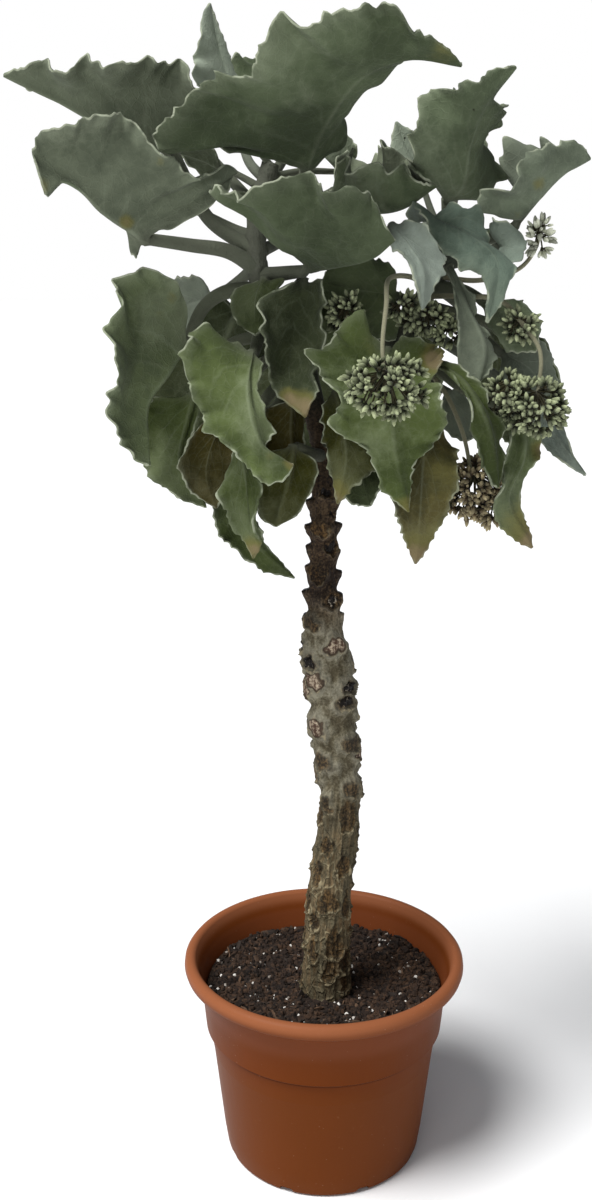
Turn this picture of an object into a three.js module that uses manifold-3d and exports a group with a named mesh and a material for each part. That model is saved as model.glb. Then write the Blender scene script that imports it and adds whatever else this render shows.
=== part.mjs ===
// A potted felt bush: a bare stem with leaf scars, a crown of large felted leaves and bud clusters,
// in a plastic nursery pot filled with soil.
// Millimetres, +Z up. The origin is the middle of the flat underside of the pot.
// The plant is seen from the front along +Y, with +X to the right.
import * as THREE from 'three';
import { mergeVertices } from 'three/addons/utils/BufferGeometryUtils.js';
import Module from 'manifold-3d';

const wasm = await Module();
wasm.setup();

// Driving dimensions of the pot and soil
const POT_HEIGHT = 212;
const RIM_RADIUS = 140;
const RIM_HEIGHT = 13;
const NECK_RADIUS = 124;
const BASE_RADIUS = 99;
const WALL = 3.5;
const FLOOR = 5;
const STEP_HEIGHT = 136;
const HEEL_HEIGHT = 26;
const POT_SIDES = 32;
const DRAIN_SLOTS = 8;
const SLOT_SIZE = [16, 14, 12];
const SOIL_TOP = 180;
const SOIL_CLEAR = 1.2;
const GAP = 0.3;

// Driving dimensions of the stem and shoots
const STEM_SIDES = 12;
const STEM_FOOT = 70;
const STEM_TOP = 735;
const SOCKET_RADIUS = 23;
const SHOOT_RADIUS = 11;
const SHOOT_TAPER = 3.5;
const SHOOT_SIDES = 8;
const SHOOT_STEPS = 7;
const RING_SPACING = 16;
const SPUR_LOWEST = 546;
const SPUR_SPACING = 21;
const SPUR_DEPTH = 5.5;
const BARK_RELIEF = 1.8;

// Driving dimensions of the leaves
const LEAF_THICKNESS = 3;
const LEAF_ROWS = 9;
const RIB_CROWDING = 1.4;
const STALK_RADIUS = 5;
const STALK_TAPER = 0.25;
const STALK_PLACES = [0, 0.4, 0.8];
const KEEL = 0.3;
const KEEL_AT_FOOT = 2;
const TOOTH_OUT = 3;
const TOOTH_IN = -5;
const WAVE = 4;
const BELLY = 4;
const FULL_RELIEF_WIDTH = 40;

// Driving dimensions of the bud clusters
const BUD_LENGTH = 18;
const BUD_WIDTH = 7;
const BUD_SEAT = 0.8;
const CORE_SHARE = 0.72;
const BUD_STALK = 1.6;
const BUD_STALK_SIDES = 5;

const point = (p) => new THREE.Vector3(p[0], p[1], p[2]);
const curveThrough = (points) => new THREE.CatmullRomCurve3(points.map(point), false, 'centripetal');

function colourOf(hex, roughness) {
  return new THREE.MeshStandardMaterial({ color: hex, roughness, metalness: 0 });
}

const potColour = 0x9a4f2c;
const soilColour = 0x2c221c;
const barkColour = 0x5d5140;
const feltColours = {
  dark: 0x3f4a38,
  grey: 0x5f6b5c,
  pale: 0x8d9a8c,
  bluish: 0x7c8c85,
  fresh: 0x62744b,
  olive: 0x59603a,
  brown: 0x6d5c3d,
};

// Solids and the joins between them

function geometryFrom(vertices, triangles) {
  const geometry = new THREE.BufferGeometry();
  const numbers = vertices.flatMap((v) => [v.x, v.y, v.z]);
  geometry.setAttribute('position', new THREE.Float32BufferAttribute(numbers, 3));
  geometry.setIndex(triangles.flat());
  return geometry;
}

function solidFrom(geometry) {
  const bare = geometry.clone();
  bare.deleteAttribute('normal');
  bare.deleteAttribute('uv');
  const merged = mergeVertices(bare, 1e-4);
  const vertProperties = new Float32Array(merged.attributes.position.array);
  const triVerts = new Uint32Array(merged.index.array);
  return new wasm.Manifold(new wasm.Mesh({ numProp: 3, vertProperties, triVerts }));
}

// The largest connected body of a solid, so that no loose scrap is kept
function mainBody(solid) {
  const bodies = solid.decompose();
  bodies.sort((a, b) => b.volume() - a.volume());
  return bodies[0];
}

function geometryOf(solid) {
  const mesh = solid.getMesh();
  const geometry = new THREE.BufferGeometry();
  geometry.setAttribute('position', new THREE.BufferAttribute(mesh.vertProperties.slice(), 3));
  geometry.setIndex(new THREE.BufferAttribute(mesh.triVerts.slice(), 1));
  return geometry;
}

function joined(solids) {
  return solids.reduce((sum, solid) => sum.add(solid));
}

// Rings of equal length become a closed body, with a fan over each end
function skinRings(rings, startCentre, endCentre) {
  const size = rings[0].length;
  const vertices = rings.flat();
  const start = vertices.push(startCentre) - 1;
  const end = vertices.push(endCentre) - 1;
  const last = (rings.length - 1) * size;
  const triangles = [];
  for (let i = 0; i < size; i += 1) {
    const next = (i + 1) % size;
    triangles.push([start, next, i]);
    triangles.push([end, last + i, last + next]);
    for (let r = 0; r < rings.length - 1; r += 1) {
      const a = r * size;
      const b = a + size;
      triangles.push([a + i, a + next, b + next]);
      triangles.push([a + i, b + next, b + i]);
    }
  }
  return geometryFrom(vertices, triangles);
}

// A round branch along a curve, with a ring at each given place along it. Its radius may change
// with the place along it and round it.
function branch(points, places, sides, radiusAt) {
  const curve = curveThrough(points);
  const rings = places.map((u) => {
    const centre = curve.getPointAt(u);
    const along = curve.getTangentAt(u);
    const side = new THREE.Vector3(1, 0, 0).addScaledVector(along, -along.x).normalize();
    const front = new THREE.Vector3().crossVectors(along, side);
    return Array.from({ length: sides }, (_, i) => {
      const angle = (2 * Math.PI * i) / sides;
      const out = side.clone().multiplyScalar(Math.cos(angle)).addScaledVector(front, Math.sin(angle));
      return centre.clone().addScaledVector(out, radiusAt(u, angle));
    });
  });
  return skinRings(rings, curve.getPointAt(0), curve.getPointAt(1));
}

function evenSteps(count) {
  return Array.from({ length: count + 1 }, (_, i) => i / count);
}

// Stem and the two leading shoots of the crown

const stemLine = [
  [2, -20, STEM_FOOT], [2, -20, 180], [3, -19, 240], [6, -16, 300], [13, -13, 350], [14, -11, 390],
  [9, -9, 440], [5, -8, 490], [0, -8, 540], [-3, -8, 590], [-3, -8, 640], [-3, -8, 690],
  [-4, -8, STEM_TOP],
];
const leftShootLine = [
  [-4, -8, STEM_TOP], [-28, -12, 795], [-58, -18, 860], [-62, -15, 915], [-50, -8, 965],
];
const rightShootLine = [[-3, -7, 700], [42, -2, 790], [84, 0, 850], [101, 0, 898], [106, 2, 922]];

// Height and radius of the bare stem: a stout foot, a swelling of old scars in the middle, a slim top
const stemGirth = [
  [180, 24], [240, 21], [300, 19.5], [400, 17], [450, 19], [500, 20], [545, 17.5], [590, 14], [640, 12.5],
  [690, 11], [735, 11],
];

function girthAt(height) {
  const upper = stemGirth.findIndex(([z]) => z >= height);
  if (upper <= 0) {
    return stemGirth[0][1];
  }
  const [z0, r0] = stemGirth[upper - 1];
  const [z1, r1] = stemGirth[upper];
  return r0 + ((r1 - r0) * (height - z0)) / (z1 - z0);
}

// How far a spur stands out of the stem, from nothing at its foot to the full depth at its tip
function spurAt(turns, facing) {
  const rise = turns - Math.floor(turns);
  return SPUR_DEPTH * Math.abs(facing) ** 6 * rise ** 1.5;
}

// Distance from the middle of the stem to its bark. Above, pairs of spurs left by fallen leaves point
// up and out, by turns at the sides and at front and back. Below, the bark has a net of low ridges.
function barkRadius(height, angle, grow) {
  if (height < SOIL_TOP - 5) {
    return SOCKET_RADIUS + grow;
  }
  if (height < SPUR_LOWEST) {
    const net = Math.sin(height / 7 + 2 * Math.sin(3 * angle)) * Math.cos(4 * angle + height / 19);
    return girthAt(height) + BARK_RELIEF * net + grow;
  }
  const turns = (height - SPUR_LOWEST) / SPUR_SPACING;
  const spur = spurAt(turns, Math.cos(angle)) + spurAt(turns + 0.5, Math.sin(angle));
  return girthAt(height) - 1 + spur + grow;
}

// Heights of the rings round the stem: few in the soil, four to a pair of spurs at the top
function stemHeights() {
  const heights = [STEM_FOOT, SOIL_TOP - 5.5, SOIL_TOP - 3];
  for (let z = SOIL_TOP + 12; z < SPUR_LOWEST - 8; z += RING_SPACING) {
    heights.push(z);
  }
  for (let z = SPUR_LOWEST; z + SPUR_SPACING < STEM_TOP; z += SPUR_SPACING) {
    heights.push(z + 1, z + 10, z + 12, z + 20);
  }
  heights.push(STEM_TOP);
  return heights;
}

function stemSolid(grow) {
  const rise = STEM_TOP - STEM_FOOT;
  const places = stemHeights().map((z) => (z - STEM_FOOT) / rise);
  const bark = (u, angle) => barkRadius(STEM_FOOT + u * rise, angle, grow);
  const shoot = (u) => SHOOT_RADIUS - SHOOT_TAPER * u + grow;
  return joined([
    solidFrom(branch(stemLine, places, STEM_SIDES, bark)),
    solidFrom(branch(leftShootLine, evenSteps(SHOOT_STEPS), SHOOT_SIDES, shoot)),
    solidFrom(branch(rightShootLine, evenSteps(SHOOT_STEPS), SHOOT_SIDES, shoot)),
  ]);
}

// Leaves

// Places along a line, evenly spaced but moved to the line's own points where those are near, so
// that the corners of a margin keep their full reach
function evenPlaces(line, points, rows) {
  const pieces = 24;
  const lengths = line.getLengths(pieces * (points.length - 1));
  const total = lengths[lengths.length - 1];
  const own = points.map((p, index) => lengths[index * pieces] / total);
  const places = [];
  for (let row = 1; row < rows; row += 1) {
    const even = row / rows;
    const near = own.find((u) => Math.abs(u - even) < 0.45 / rows);
    places.push(near > 0 && near < 1 ? near : even);
  }
  return places;
}

// One vertex of the margin and one of the belly between it and the rib, for one row and one hand.
// The margin is toothed and waved, less so where the blade is narrow.
function marginAndBelly(margin, middle, along, row, hand) {
  const across = margin.clone().sub(middle);
  const normal = new THREE.Vector3().crossVectors(along, across).normalize();
  normal.multiplyScalar(hand === 0 ? 1 : -1);
  const reach = Math.min(1, across.length() / FULL_RELIEF_WIDTH);
  const tooth = reach * (row % 2 === 0 ? TOOTH_IN : TOOTH_OUT);
  const wave = WAVE * reach * Math.sin((Math.PI * (row + 0.5)) / 2 + hand * 2);
  const outward = across.clone().normalize();
  const edge = margin.clone().addScaledVector(outward, tooth).addScaledVector(normal, wave);
  const belly = middle.clone().lerp(margin, 0.5).addScaledVector(normal, BELLY * reach);
  return { edge, belly };
}

// Rows of vertices from the left margin over the rib to the right margin
function bladeGrid(shape, rows, margins) {
  const rib = curveThrough(shape.rib);
  const grid = [];
  for (let row = 1; row < rows; row += 1) {
    const u = (row / rows) ** RIB_CROWDING;
    const middle = rib.getPointAt(u);
    const along = rib.getTangentAt(u);
    const [left, right] = margins.map(({ line, places }, hand) => (
      marginAndBelly(line.getPointAt(places[row - 1]), middle, along, row, hand)
    ));
    grid.push(shape.flat
      ? [left.edge, middle, right.edge]
      : [left.edge, left.belly, middle, right.belly, right.edge]);
  }
  return grid;
}

// Rings round the stalk, each with as many points as a ring round the blade
function stalkRings(stalk, handed, thin, columns) {
  return STALK_PLACES.map((u) => {
    const centre = stalk.getPointAt(u);
    const along = stalk.getTangentAt(u);
    const side = handed.clone().addScaledVector(along, -handed.dot(along)).normalize();
    const up = new THREE.Vector3().crossVectors(along, side);
    const radius = STALK_RADIUS * thin * (1 - STALK_TAPER * u);
    return Array.from({ length: 2 * columns }, (_, i) => {
      const angle = (Math.PI * (i + 0.5)) / columns;
      const out = side.clone().multiplyScalar(Math.cos(angle)).addScaledVector(up, Math.sin(angle));
      return centre.clone().addScaledVector(out, radius);
    });
  });
}

// Rings round the blade: over the upper face one way and back under the lower face, which has a keel
// along the rib
function bladeRings(grid, foot, tip) {
  const half = LEAF_THICKNESS / 2;
  const columns = grid[0].length;
  const rows = [Array(columns).fill(foot), ...grid, Array(columns).fill(tip)];
  return grid.map((row, index) => {
    const fromTip = 1 - (index + 1) / (grid.length + 1);
    const over = [];
    const under = [];
    row.forEach((vertex, column) => {
      const along = rows[index + 2][column].clone().sub(rows[index][column]);
      const across = row[Math.max(0, column - 1)].clone().sub(row[Math.min(columns - 1, column + 1)]);
      const normal = new THREE.Vector3().crossVectors(along, across).normalize();
      const keel = column === (columns - 1) / 2 ? KEEL + KEEL_AT_FOOT * fromTip ** 3 : 0;
      over.push(vertex.clone().addScaledVector(normal, half));
      under.push(vertex.clone().addScaledVector(normal, -half * (1 + keel)));
    });
    return [...over, ...under.reverse()];
  });
}

// One felted leaf: a round stalk that widens into a blade folded along its rib. The rib, left and
// right lines run from the foot of the blade to its tip. A flat leaf has no belly between rib and
// margin, and a thin one has a slimmer stalk.
function leafSolid(shape, clearStem) {
  const rows = shape.rows ?? LEAF_ROWS;
  const foot = shape.rib[0];
  const tip = shape.rib[shape.rib.length - 1];
  const margins = [shape.left, shape.right].map((points) => {
    const all = [foot, ...points, tip];
    const line = curveThrough(all);
    return { line, places: evenPlaces(line, all, rows) };
  });
  const grid = bladeGrid(shape, rows, margins);
  const stalk = curveThrough([...shape.stalk, foot]);
  const handed = margins[0].line.getPointAt(0.3).sub(margins[1].line.getPointAt(0.3));
  const rings = [
    ...stalkRings(stalk, handed, shape.thin ?? 1, grid[0].length),
    ...bladeRings(grid, point(foot), point(tip)),
  ];
  const whole = solidFrom(skinRings(rings, stalk.getPointAt(0), point(tip)));
  return mainBody(whole.subtract(clearStem));
}

// Each leaf by points on its stalk, rib and margins, from the foot to the tip
const leaves = [
  {
    name: 'leaf_far_left',
    stalk: [[-62, -17, 893], [-79, -12, 902], [-105, -4, 921]],
    rib: [[-135, 5, 977], [-180, -8, 990], [-227, -18, 1013], [-271, -28, 1034]],
    left: [
      [-118, -15, 996], [-105, -35, 1015], [-135, -50, 1036], [-163, -58, 1043], [-188, -58, 1046],
      [-213, -50, 1042], [-254, -35, 1039],
    ],
    right: [[-126, 35, 1001], [-141, 55, 1024], [-180, 50, 1038], [-224, 20, 1034]],
    rows: 13,
    thin: 1.15,
    tint: 'grey',
  },
  {
    name: 'leaf_left_droop',
    stalk: [[-60, -18, 877], [-86, -26, 892], [-118, -36, 897]],
    rib: [[-154, -45, 902], [-185, -70, 921], [-214, -95, 944], [-227, -100, 934]],
    left: [
      [-116, -55, 918], [-73, -62, 950], [-110, -75, 955], [-143, -95, 975], [-175, -108, 995],
      [-209, -112, 989], [-231, -112, 972], [-230, -106, 949],
    ],
    right: [[-159, -38, 888], [-164, -36, 880], [-170, -38, 908], [-192, -44, 937], [-213, -72, 960]],
    rows: 14,
    thin: 1.2,
    tint: 'grey',
  },
  {
    name: 'leaf_top_front',
    stalk: [[-54, -12, 928], [-35, -20, 940]],
    rib: [[-20, -30, 955], [-2, -62, 993], [25, -92, 1024], [60, -100, 1035], [101, -102, 1030]],
    left: [
      [-54, -50, 969], [-102, -66, 974], [-144, -86, 979], [-110, -108, 1004], [-67, -125, 1024],
      [-55, -140, 1049], [-35, -147, 1059], [-7, -150, 1056], [35, -145, 1059], [83, -118, 1044],
    ],
    right: [[-9, -16, 967], [13, -16, 1009], [29, -48, 1031], [66, -85, 1045]],
    rows: 18,
    tint: 'grey',
  },
  {
    name: 'leaf_top_spike',
    stalk: [[-52, -9, 950], [-70, 18, 970]],
    rib: [[-80, 55, 1014], [-91, 62, 1047], [-99, 62, 1077], [-104, 58, 1105]],
    left: [[-110, 60, 1029], [-121, 55, 1047], [-116, 52, 1069], [-110, 54, 1095]],
    right: [[-62, 70, 1026], [-80, 66, 1042], [-88, 62, 1065], [-97, 60, 1088]],
    thin: 0.8,
    tint: 'pale',
  },
  {
    name: 'leaf_front_fan',
    stalk: [[-58, -18, 871], [-37, -32, 874]],
    rib: [[-18, -50, 876], [10, -78, 879], [33, -100, 885], [50, -112, 900]],
    left: [
      [-37, -66, 897], [-69, -88, 926], [-99, -100, 932], [-86, -112, 940], [-54, -128, 945],
      [-20, -136, 940], [10, -132, 941], [35, -122, 920],
    ],
    right: [[-9, -30, 892], [9, -48, 911], [28, -75, 915], [43, -98, 908]],
    rows: 12,
    thin: 1.2,
    tint: 'grey',
  },
  {
    name: 'leaf_right_tall',
    stalk: [[106, 3, 920], [105, 4, 926]],
    rib: [[103, 4, 933], [115, -12, 948], [118, -28, 978], [128, -38, 1008], [152, -44, 1038]],
    left: [
      [86, -12, 942], [65, -40, 984], [77, -50, 1002], [95, -56, 1018], [121, -54, 1028],
      [137, -48, 1038],
    ],
    right: [[137, 26, 951], [150, 34, 974], [143, 26, 985], [154, 8, 1009], [137, -18, 1018]],
    rows: 11,
    tint: 'grey',
  },
  {
    name: 'leaf_far_right',
    stalk: [[105, 2, 904], [132, 0, 902], [153, -5, 907]],
    rib: [[166, -8, 917], [185, -12, 939], [204, -10, 958], [226, 0, 970]],
    left: [
      [143, -24, 918], [124, -32, 929], [134, -42, 946], [149, -44, 949], [166, -44, 968],
      [194, -30, 975], [214, -12, 981],
    ],
    right: [[161, 45, 947], [165, 62, 968], [177, 62, 982], [204, 40, 985]],
    rows: 11,
    tint: 'grey',
  },
  {
    name: 'leaf_middle_boat',
    stalk: [[-56, -14, 915], [-25, -2, 931]],
    rib: [[2, 8, 941], [30, -16, 925], [60, -38, 926], [88, -54, 944]],
    left: [[1, -20, 963], [19, -42, 967], [43, -56, 958], [70, -60, 953]],
    right: [[13, 34, 980], [41, 30, 983], [56, -14, 974], [73, -50, 957]],
    tint: 'grey',
  },
  {
    name: 'leaf_young_a',
    stalk: [[-52, -8, 953], [-25, 12, 960]],
    rib: [[10, 40, 962], [11, 46, 981], [6, 50, 1003]],
    left: [[-1, 44, 974], [-1, 46, 991]],
    right: [[26, 52, 973], [22, 50, 988]],
    rows: 7,
    flat: true,
    thin: 0.6,
    tint: 'pale',
  },
  {
    name: 'leaf_young_b',
    stalk: [[104, 2, 900], [93, 20, 925]],
    rib: [[81, 38, 962], [69, 44, 984], [61, 46, 1005]],
    left: [[66, 36, 968], [59, 40, 987]],
    right: [[91, 50, 976], [76, 48, 995]],
    rows: 7,
    flat: true,
    thin: 0.6,
    tint: 'grey',
  },
  {
    name: 'leaf_young_c',
    stalk: [[-53, -10, 942], [-73, 6, 954]],
    rib: [[-93, 20, 965], [-107, 26, 971], [-132, 30, 979]],
    left: [[-99, 10, 978], [-117, 14, 978]],
    right: [[-100, 40, 957], [-121, 44, 964]],
    rows: 7,
    flat: true,
    thin: 0.6,
    tint: 'grey',
  },
  {
    name: 'leaf_shoot_left',
    stalk: [[-50, -9, 963], [-55, -14, 969]],
    rib: [[-60, -16, 974], [-65, -14, 985], [-67, -4, 1002]],
    left: [[-69, -20, 978], [-73, -14, 990]],
    right: [[-52, -12, 979], [-57, -4, 993]],
    rows: 7,
    flat: true,
    thin: 0.5,
    tint: 'pale',
  },
  {
    name: 'leaf_front_claw',
    stalk: [[101, 0, 889], [73, -32, 900]],
    rib: [[52, -62, 910], [63, -92, 894], [73, -106, 875], [74, -104, 845]],
    left: [[46, -76, 900], [52, -92, 893], [64, -104, 878], [69, -106, 861]],
    right: [[67, -72, 915], [82, -90, 903], [93, -98, 887], [87, -104, 867], [80, -104, 853]],
    tint: 'bluish',
  },
  {
    name: 'leaf_right_saddle',
    stalk: [[104, 2, 909], [96, -16, 913]],
    rib: [[86, -30, 916], [109, -66, 907], [135, -88, 883], [129, -92, 834]],
    left: [
      [80, -20, 925], [104, -34, 927], [125, -44, 921], [134, -60, 901], [150, -78, 878], [142, -88, 856],
    ],
    right: [[60, -34, 921], [78, -62, 909], [105, -92, 883], [124, -96, 872], [127, -96, 853]],
    tint: 'bluish',
  },
  {
    name: 'leaf_right_cup',
    stalk: [[102, 1, 882], [130, -12, 888]],
    rib: [[146, -30, 896], [154, -48, 893], [162, -58, 891]],
    left: [[140, -26, 910], [148, -30, 918], [164, -44, 903]],
    right: [[143, -44, 888], [148, -58, 878], [160, -62, 883]],
    rows: 7,
    flat: true,
    tint: 'bluish',
  },
  {
    name: 'leaf_left_big',
    stalk: [[-58, -18, 860], [-89, -14, 858], [-108, -16, 846]],
    rib: [[-124, -22, 815], [-139, -40, 790], [-156, -52, 764], [-156, -62, 712]],
    left: [
      [-123, -34, 843], [-136, -48, 872], [-160, -66, 876], [-175, -88, 852], [-180, -100, 832],
      [-177, -104, 809], [-182, -104, 783], [-178, -92, 752], [-169, -76, 723],
    ],
    right: [[-133, 0, 812], [-147, -18, 789], [-159, -40, 756], [-160, -54, 730]],
    rows: 14,
    thin: 1.2,
    tint: 'grey',
  },
  {
    name: 'leaf_left_back',
    stalk: [[-59, -17, 883], [-78, 14, 868]],
    rib: [[-102, 16, 851], [-125, 40, 845], [-165, 62, 830]],
    left: [[-107, 22, 863], [-117, 32, 871], [-131, 44, 871], [-151, 58, 859]],
    right: [[-109, 20, 836], [-132, 44, 821], [-152, 60, 817]],
    rows: 8,
    flat: true,
    tint: 'dark',
  },
  {
    name: 'leaf_left_under',
    stalk: [[-41, -12, 822], [-86, -16, 813]],
    rib: [[-116, -26, 776], [-124, -34, 744], [-131, -38, 712], [-108, -38, 671]],
    left: [[-129, -24, 769], [-156, -18, 754], [-169, -26, 727], [-159, -34, 701], [-135, -38, 682]],
    right: [[-111, -26, 765], [-118, -34, 740], [-123, -38, 717], [-113, -38, 694]],
    flat: true,
    tint: 'fresh',
  },
  {
    name: 'leaf_left_brown',
    stalk: [[-35, -14, 812], [-65, -10, 789]],
    rib: [[-88, -24, 756], [-100, -46, 733], [-107, -54, 703], [-98, -52, 673]],
    left: [[-108, -40, 749], [-124, -55, 727], [-130, -59, 712], [-122, -59, 691]],
    right: [[-79, -36, 740], [-81, -48, 714], [-89, -52, 689]],
    tint: 'brown',
  },
  {
    name: 'leaf_left_front',
    stalk: [[-57, -18, 843], [-63, -36, 811], [-67, -58, 803]],
    rib: [[-66, -80, 809], [-67, -104, 777], [-56, -112, 736], [-30, -108, 719]],
    left: [
      [-84, -80, 836], [-106, -84, 840], [-120, -92, 811], [-117, -98, 781], [-103, -102, 752],
      [-81, -106, 732], [-60, -112, 708], [-38, -112, 706],
    ],
    right: [
      [-51, -90, 804], [-60, -100, 782], [-56, -102, 761], [-47, -100, 747], [-53, -106, 732],
      [-38, -106, 720],
    ],
    rows: 15,
    tint: 'fresh',
  },
  {
    name: 'leaf_left_folded',
    stalk: [[-28, -12, 795], [-55, -30, 766]],
    rib: [[-76, -58, 734], [-71, -76, 706], [-68, -80, 672], [-65, -76, 633]],
    left: [[-87, -60, 721], [-91, -72, 693], [-85, -76, 665], [-71, -78, 645]],
    right: [[-67, -74, 723], [-57, -88, 702], [-60, -90, 674], [-60, -84, 647]],
    tint: 'fresh',
  },
  {
    name: 'leaf_left_low',
    stalk: [[-24, -10, 783], [-70, -4, 727]],
    rib: [[-92, -10, 684], [-79, -22, 655], [-57, -28, 629], [-29, -28, 604]],
    left: [[-106, -14, 676], [-98, -28, 645], [-81, -30, 629], [-57, -32, 612]],
    right: [[-70, -10, 673], [-61, -22, 644], [-43, -28, 621]],
    tint: 'fresh',
  },
  {
    name: 'leaf_trunk_round',
    stalk: [[-4, -8, 713], [-15, -40, 721]],
    rib: [[-31, -52, 729], [-35, -62, 700], [-46, -60, 658]],
    left: [[-54, -54, 723], [-63, -62, 696], [-59, -60, 667]],
    right: [[-13, -48, 717], [-12, -52, 695], [-26, -58, 669]],
    tint: 'olive',
  },
  {
    name: 'leaf_trunk_dark',
    stalk: [[-19, -8, 774], [-26, -24, 774]],
    rib: [[-32, -28, 766], [-32, -32, 734], [-28, -34, 704]],
    left: [[-46, -30, 757], [-47, -34, 733], [-40, -34, 712]],
    right: [[-21, -28, 757], [-20, -30, 731], [-22, -32, 709]],
    rows: 8,
    flat: true,
    tint: 'brown',
  },
  {
    name: 'leaf_front_small',
    stalk: [[-58, -18, 861], [-55, -30, 865]],
    rib: [[-54, -38, 868], [-62, -48, 848], [-62, -54, 822]],
    left: [[-71, -38, 865], [-83, -42, 855], [-79, -50, 834]],
    right: [[-37, -42, 870], [-47, -50, 850], [-56, -56, 829]],
    rows: 8,
    flat: true,
    tint: 'fresh',
  },
  {
    name: 'leaf_front_pocket',
    stalk: [[-46, -16, 836], [-31, -20, 858]],
    rib: [[-21, -30, 870], [-30, -36, 835], [-33, -42, 801], [-31, -70, 776], [-20, -82, 756]],
    left: [[-36, -58, 868], [-50, -68, 848], [-53, -68, 824], [-53, -64, 798], [-45, -74, 778]],
    right: [[-1, -58, 867], [-4, -68, 847], [-10, -74, 821], [-15, -78, 795], [-13, -84, 773]],
    tint: 'olive',
  },
  {
    name: 'leaf_front_big',
    stalk: [[31, -4, 774], [41, -40, 799]],
    rib: [[47, -84, 812], [49, -112, 774], [53, -118, 734], [66, -108, 680]],
    left: [
      [35, -80, 841], [17, -84, 841], [3, -88, 819], [-18, -96, 814], [6, -110, 775], [3, -112, 751],
      [28, -115, 731], [45, -112, 699],
    ],
    right: [
      [60, -78, 833], [78, -80, 828], [96, -84, 816], [86, -100, 789], [97, -108, 749], [71, -114, 720],
      [68, -110, 697],
    ],
    rows: 16,
    tint: 'fresh',
  },
  {
    name: 'leaf_front_pink',
    stalk: [[14, -5, 747], [55, -30, 755]],
    rib: [[82, -62, 756], [81, -80, 724], [78, -84, 677], [76, -76, 628]],
    left: [[64, -70, 746], [49, -84, 708], [58, -86, 669], [69, -80, 643]],
    right: [[100, -66, 749], [109, -76, 726], [106, -82, 686], [92, -80, 650]],
    tint: 'brown',
  },
  {
    name: 'leaf_trunk_right',
    stalk: [[-1, -8, 721], [3, -38, 749], [7, -46, 767]],
    rib: [[8, -50, 778], [13, -68, 744], [15, -74, 715], [8, -70, 680]],
    left: [[-6, -50, 768], [-7, -62, 742], [0, -70, 710]],
    right: [[24, -58, 767], [37, -76, 740], [42, -82, 717], [23, -78, 697]],
    tint: 'olive',
  },
  {
    name: 'leaf_trunk_low',
    stalk: [[-1, -6, 720], [21, -12, 728]],
    rib: [[31, -22, 722], [29, -36, 701], [38, -42, 673]],
    left: [[17, -24, 716], [11, -36, 694], [18, -44, 676]],
    right: [[49, -30, 716], [55, -38, 700], [46, -44, 686]],
    rows: 8,
    flat: true,
    tint: 'dark',
  },
  {
    name: 'leaf_right_strap',
    stalk: [[97, 0, 878], [100, -22, 877]],
    rib: [[102, -44, 878], [113, -70, 848], [128, -82, 816], [124, -86, 785]],
    left: [[105, -60, 859], [107, -78, 827], [105, -82, 808], [114, -86, 793]],
    right: [[118, -64, 851], [129, -74, 830], [141, -76, 815], [136, -82, 797]],
    tint: 'grey',
  },
  {
    name: 'leaf_right_curve',
    stalk: [[52, -2, 806], [72, -40, 808]],
    rib: [[90, -70, 801], [113, -102, 782], [130, -106, 753], [142, -94, 698]],
    left: [[101, -94, 792], [114, -108, 773], [121, -108, 740], [133, -98, 706]],
    right: [[106, -92, 801], [125, -102, 778], [147, -98, 751], [146, -92, 720]],
    tint: 'fresh',
  },
  {
    name: 'leaf_right_inner',
    stalk: [[90, 0, 863], [117, -16, 860]],
    rib: [[132, -34, 852], [152, -52, 834], [176, -60, 809]],
    left: [[144, -38, 852], [164, -48, 852], [180, -56, 834]],
    right: [[134, -50, 837], [145, -62, 819], [161, -66, 809]],
    rows: 8,
    flat: true,
    tint: 'fresh',
  },
  {
    name: 'leaf_right_shade',
    stalk: [[75, 0, 839], [124, -20, 826]],
    rib: [[150, -32, 807], [175, -40, 794], [201, -36, 756]],
    left: [[160, -30, 816], [175, -32, 823], [193, -34, 809], [200, -36, 780]],
    right: [[147, -42, 789], [155, -50, 769], [181, -46, 757]],
    rows: 9,
    flat: true,
    tint: 'dark',
  },
  {
    name: 'leaf_right_outer',
    stalk: [[81, 0, 847], [138, 20, 833]],
    rib: [[175, 20, 820], [200, 8, 794], [213, 0, 756]],
    left: [[182, 16, 824], [200, 6, 811], [211, -2, 770]],
    right: [[175, 34, 805], [187, 24, 775], [202, 10, 755]],
    rows: 8,
    flat: true,
    tint: 'dark',
  },
  {
    name: 'leaf_right_tip',
    stalk: [[73, 0, 834], [148, 12, 787]],
    rib: [[193, 2, 754], [209, -6, 729], [235, -12, 696]],
    left: [[185, 4, 740], [202, -6, 717], [218, -10, 705]],
    right: [[208, 2, 752], [218, -6, 729], [224, -10, 712]],
    rows: 8,
    flat: true,
    tint: 'bluish',
  },
  {
    name: 'leaf_right_low',
    stalk: [[66, 0, 825], [117, -24, 777]],
    rib: [[169, -44, 754], [167, -66, 722], [155, -74, 684], [179, -66, 640]],
    left: [[156, -54, 747], [152, -68, 722], [144, -78, 694], [147, -74, 662], [164, -68, 648]],
    right: [[185, -50, 742], [184, -62, 722], [168, -72, 698], [167, -72, 677], [178, -66, 653]],
    tint: 'olive',
  },
  {
    name: 'leaf_right_dark',
    stalk: [[40, 0, 788], [76, -4, 785]],
    rib: [[107, -6, 771], [115, -12, 752], [129, -12, 728]],
    left: [[101, -12, 762], [104, -18, 742], [117, -16, 728]],
    right: [[117, -4, 778], [132, -8, 755], [136, -10, 735]],
    rows: 8,
    flat: true,
    tint: 'dark',
  },
  {
    name: 'leaf_back_top',
    stalk: [[-53, -10, 938], [-53, 22, 949]],
    rib: [[-35, 62, 981], [-39, 120, 1021], [-51, 178, 1078]],
    left: [[-70, 76, 999], [-96, 118, 1033], [-82, 158, 1071]],
    right: [[-6, 76, 999], [-4, 118, 1035], [-24, 160, 1080]],
    rows: 9,
    flat: true,
    tint: 'grey',
  },
  {
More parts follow.
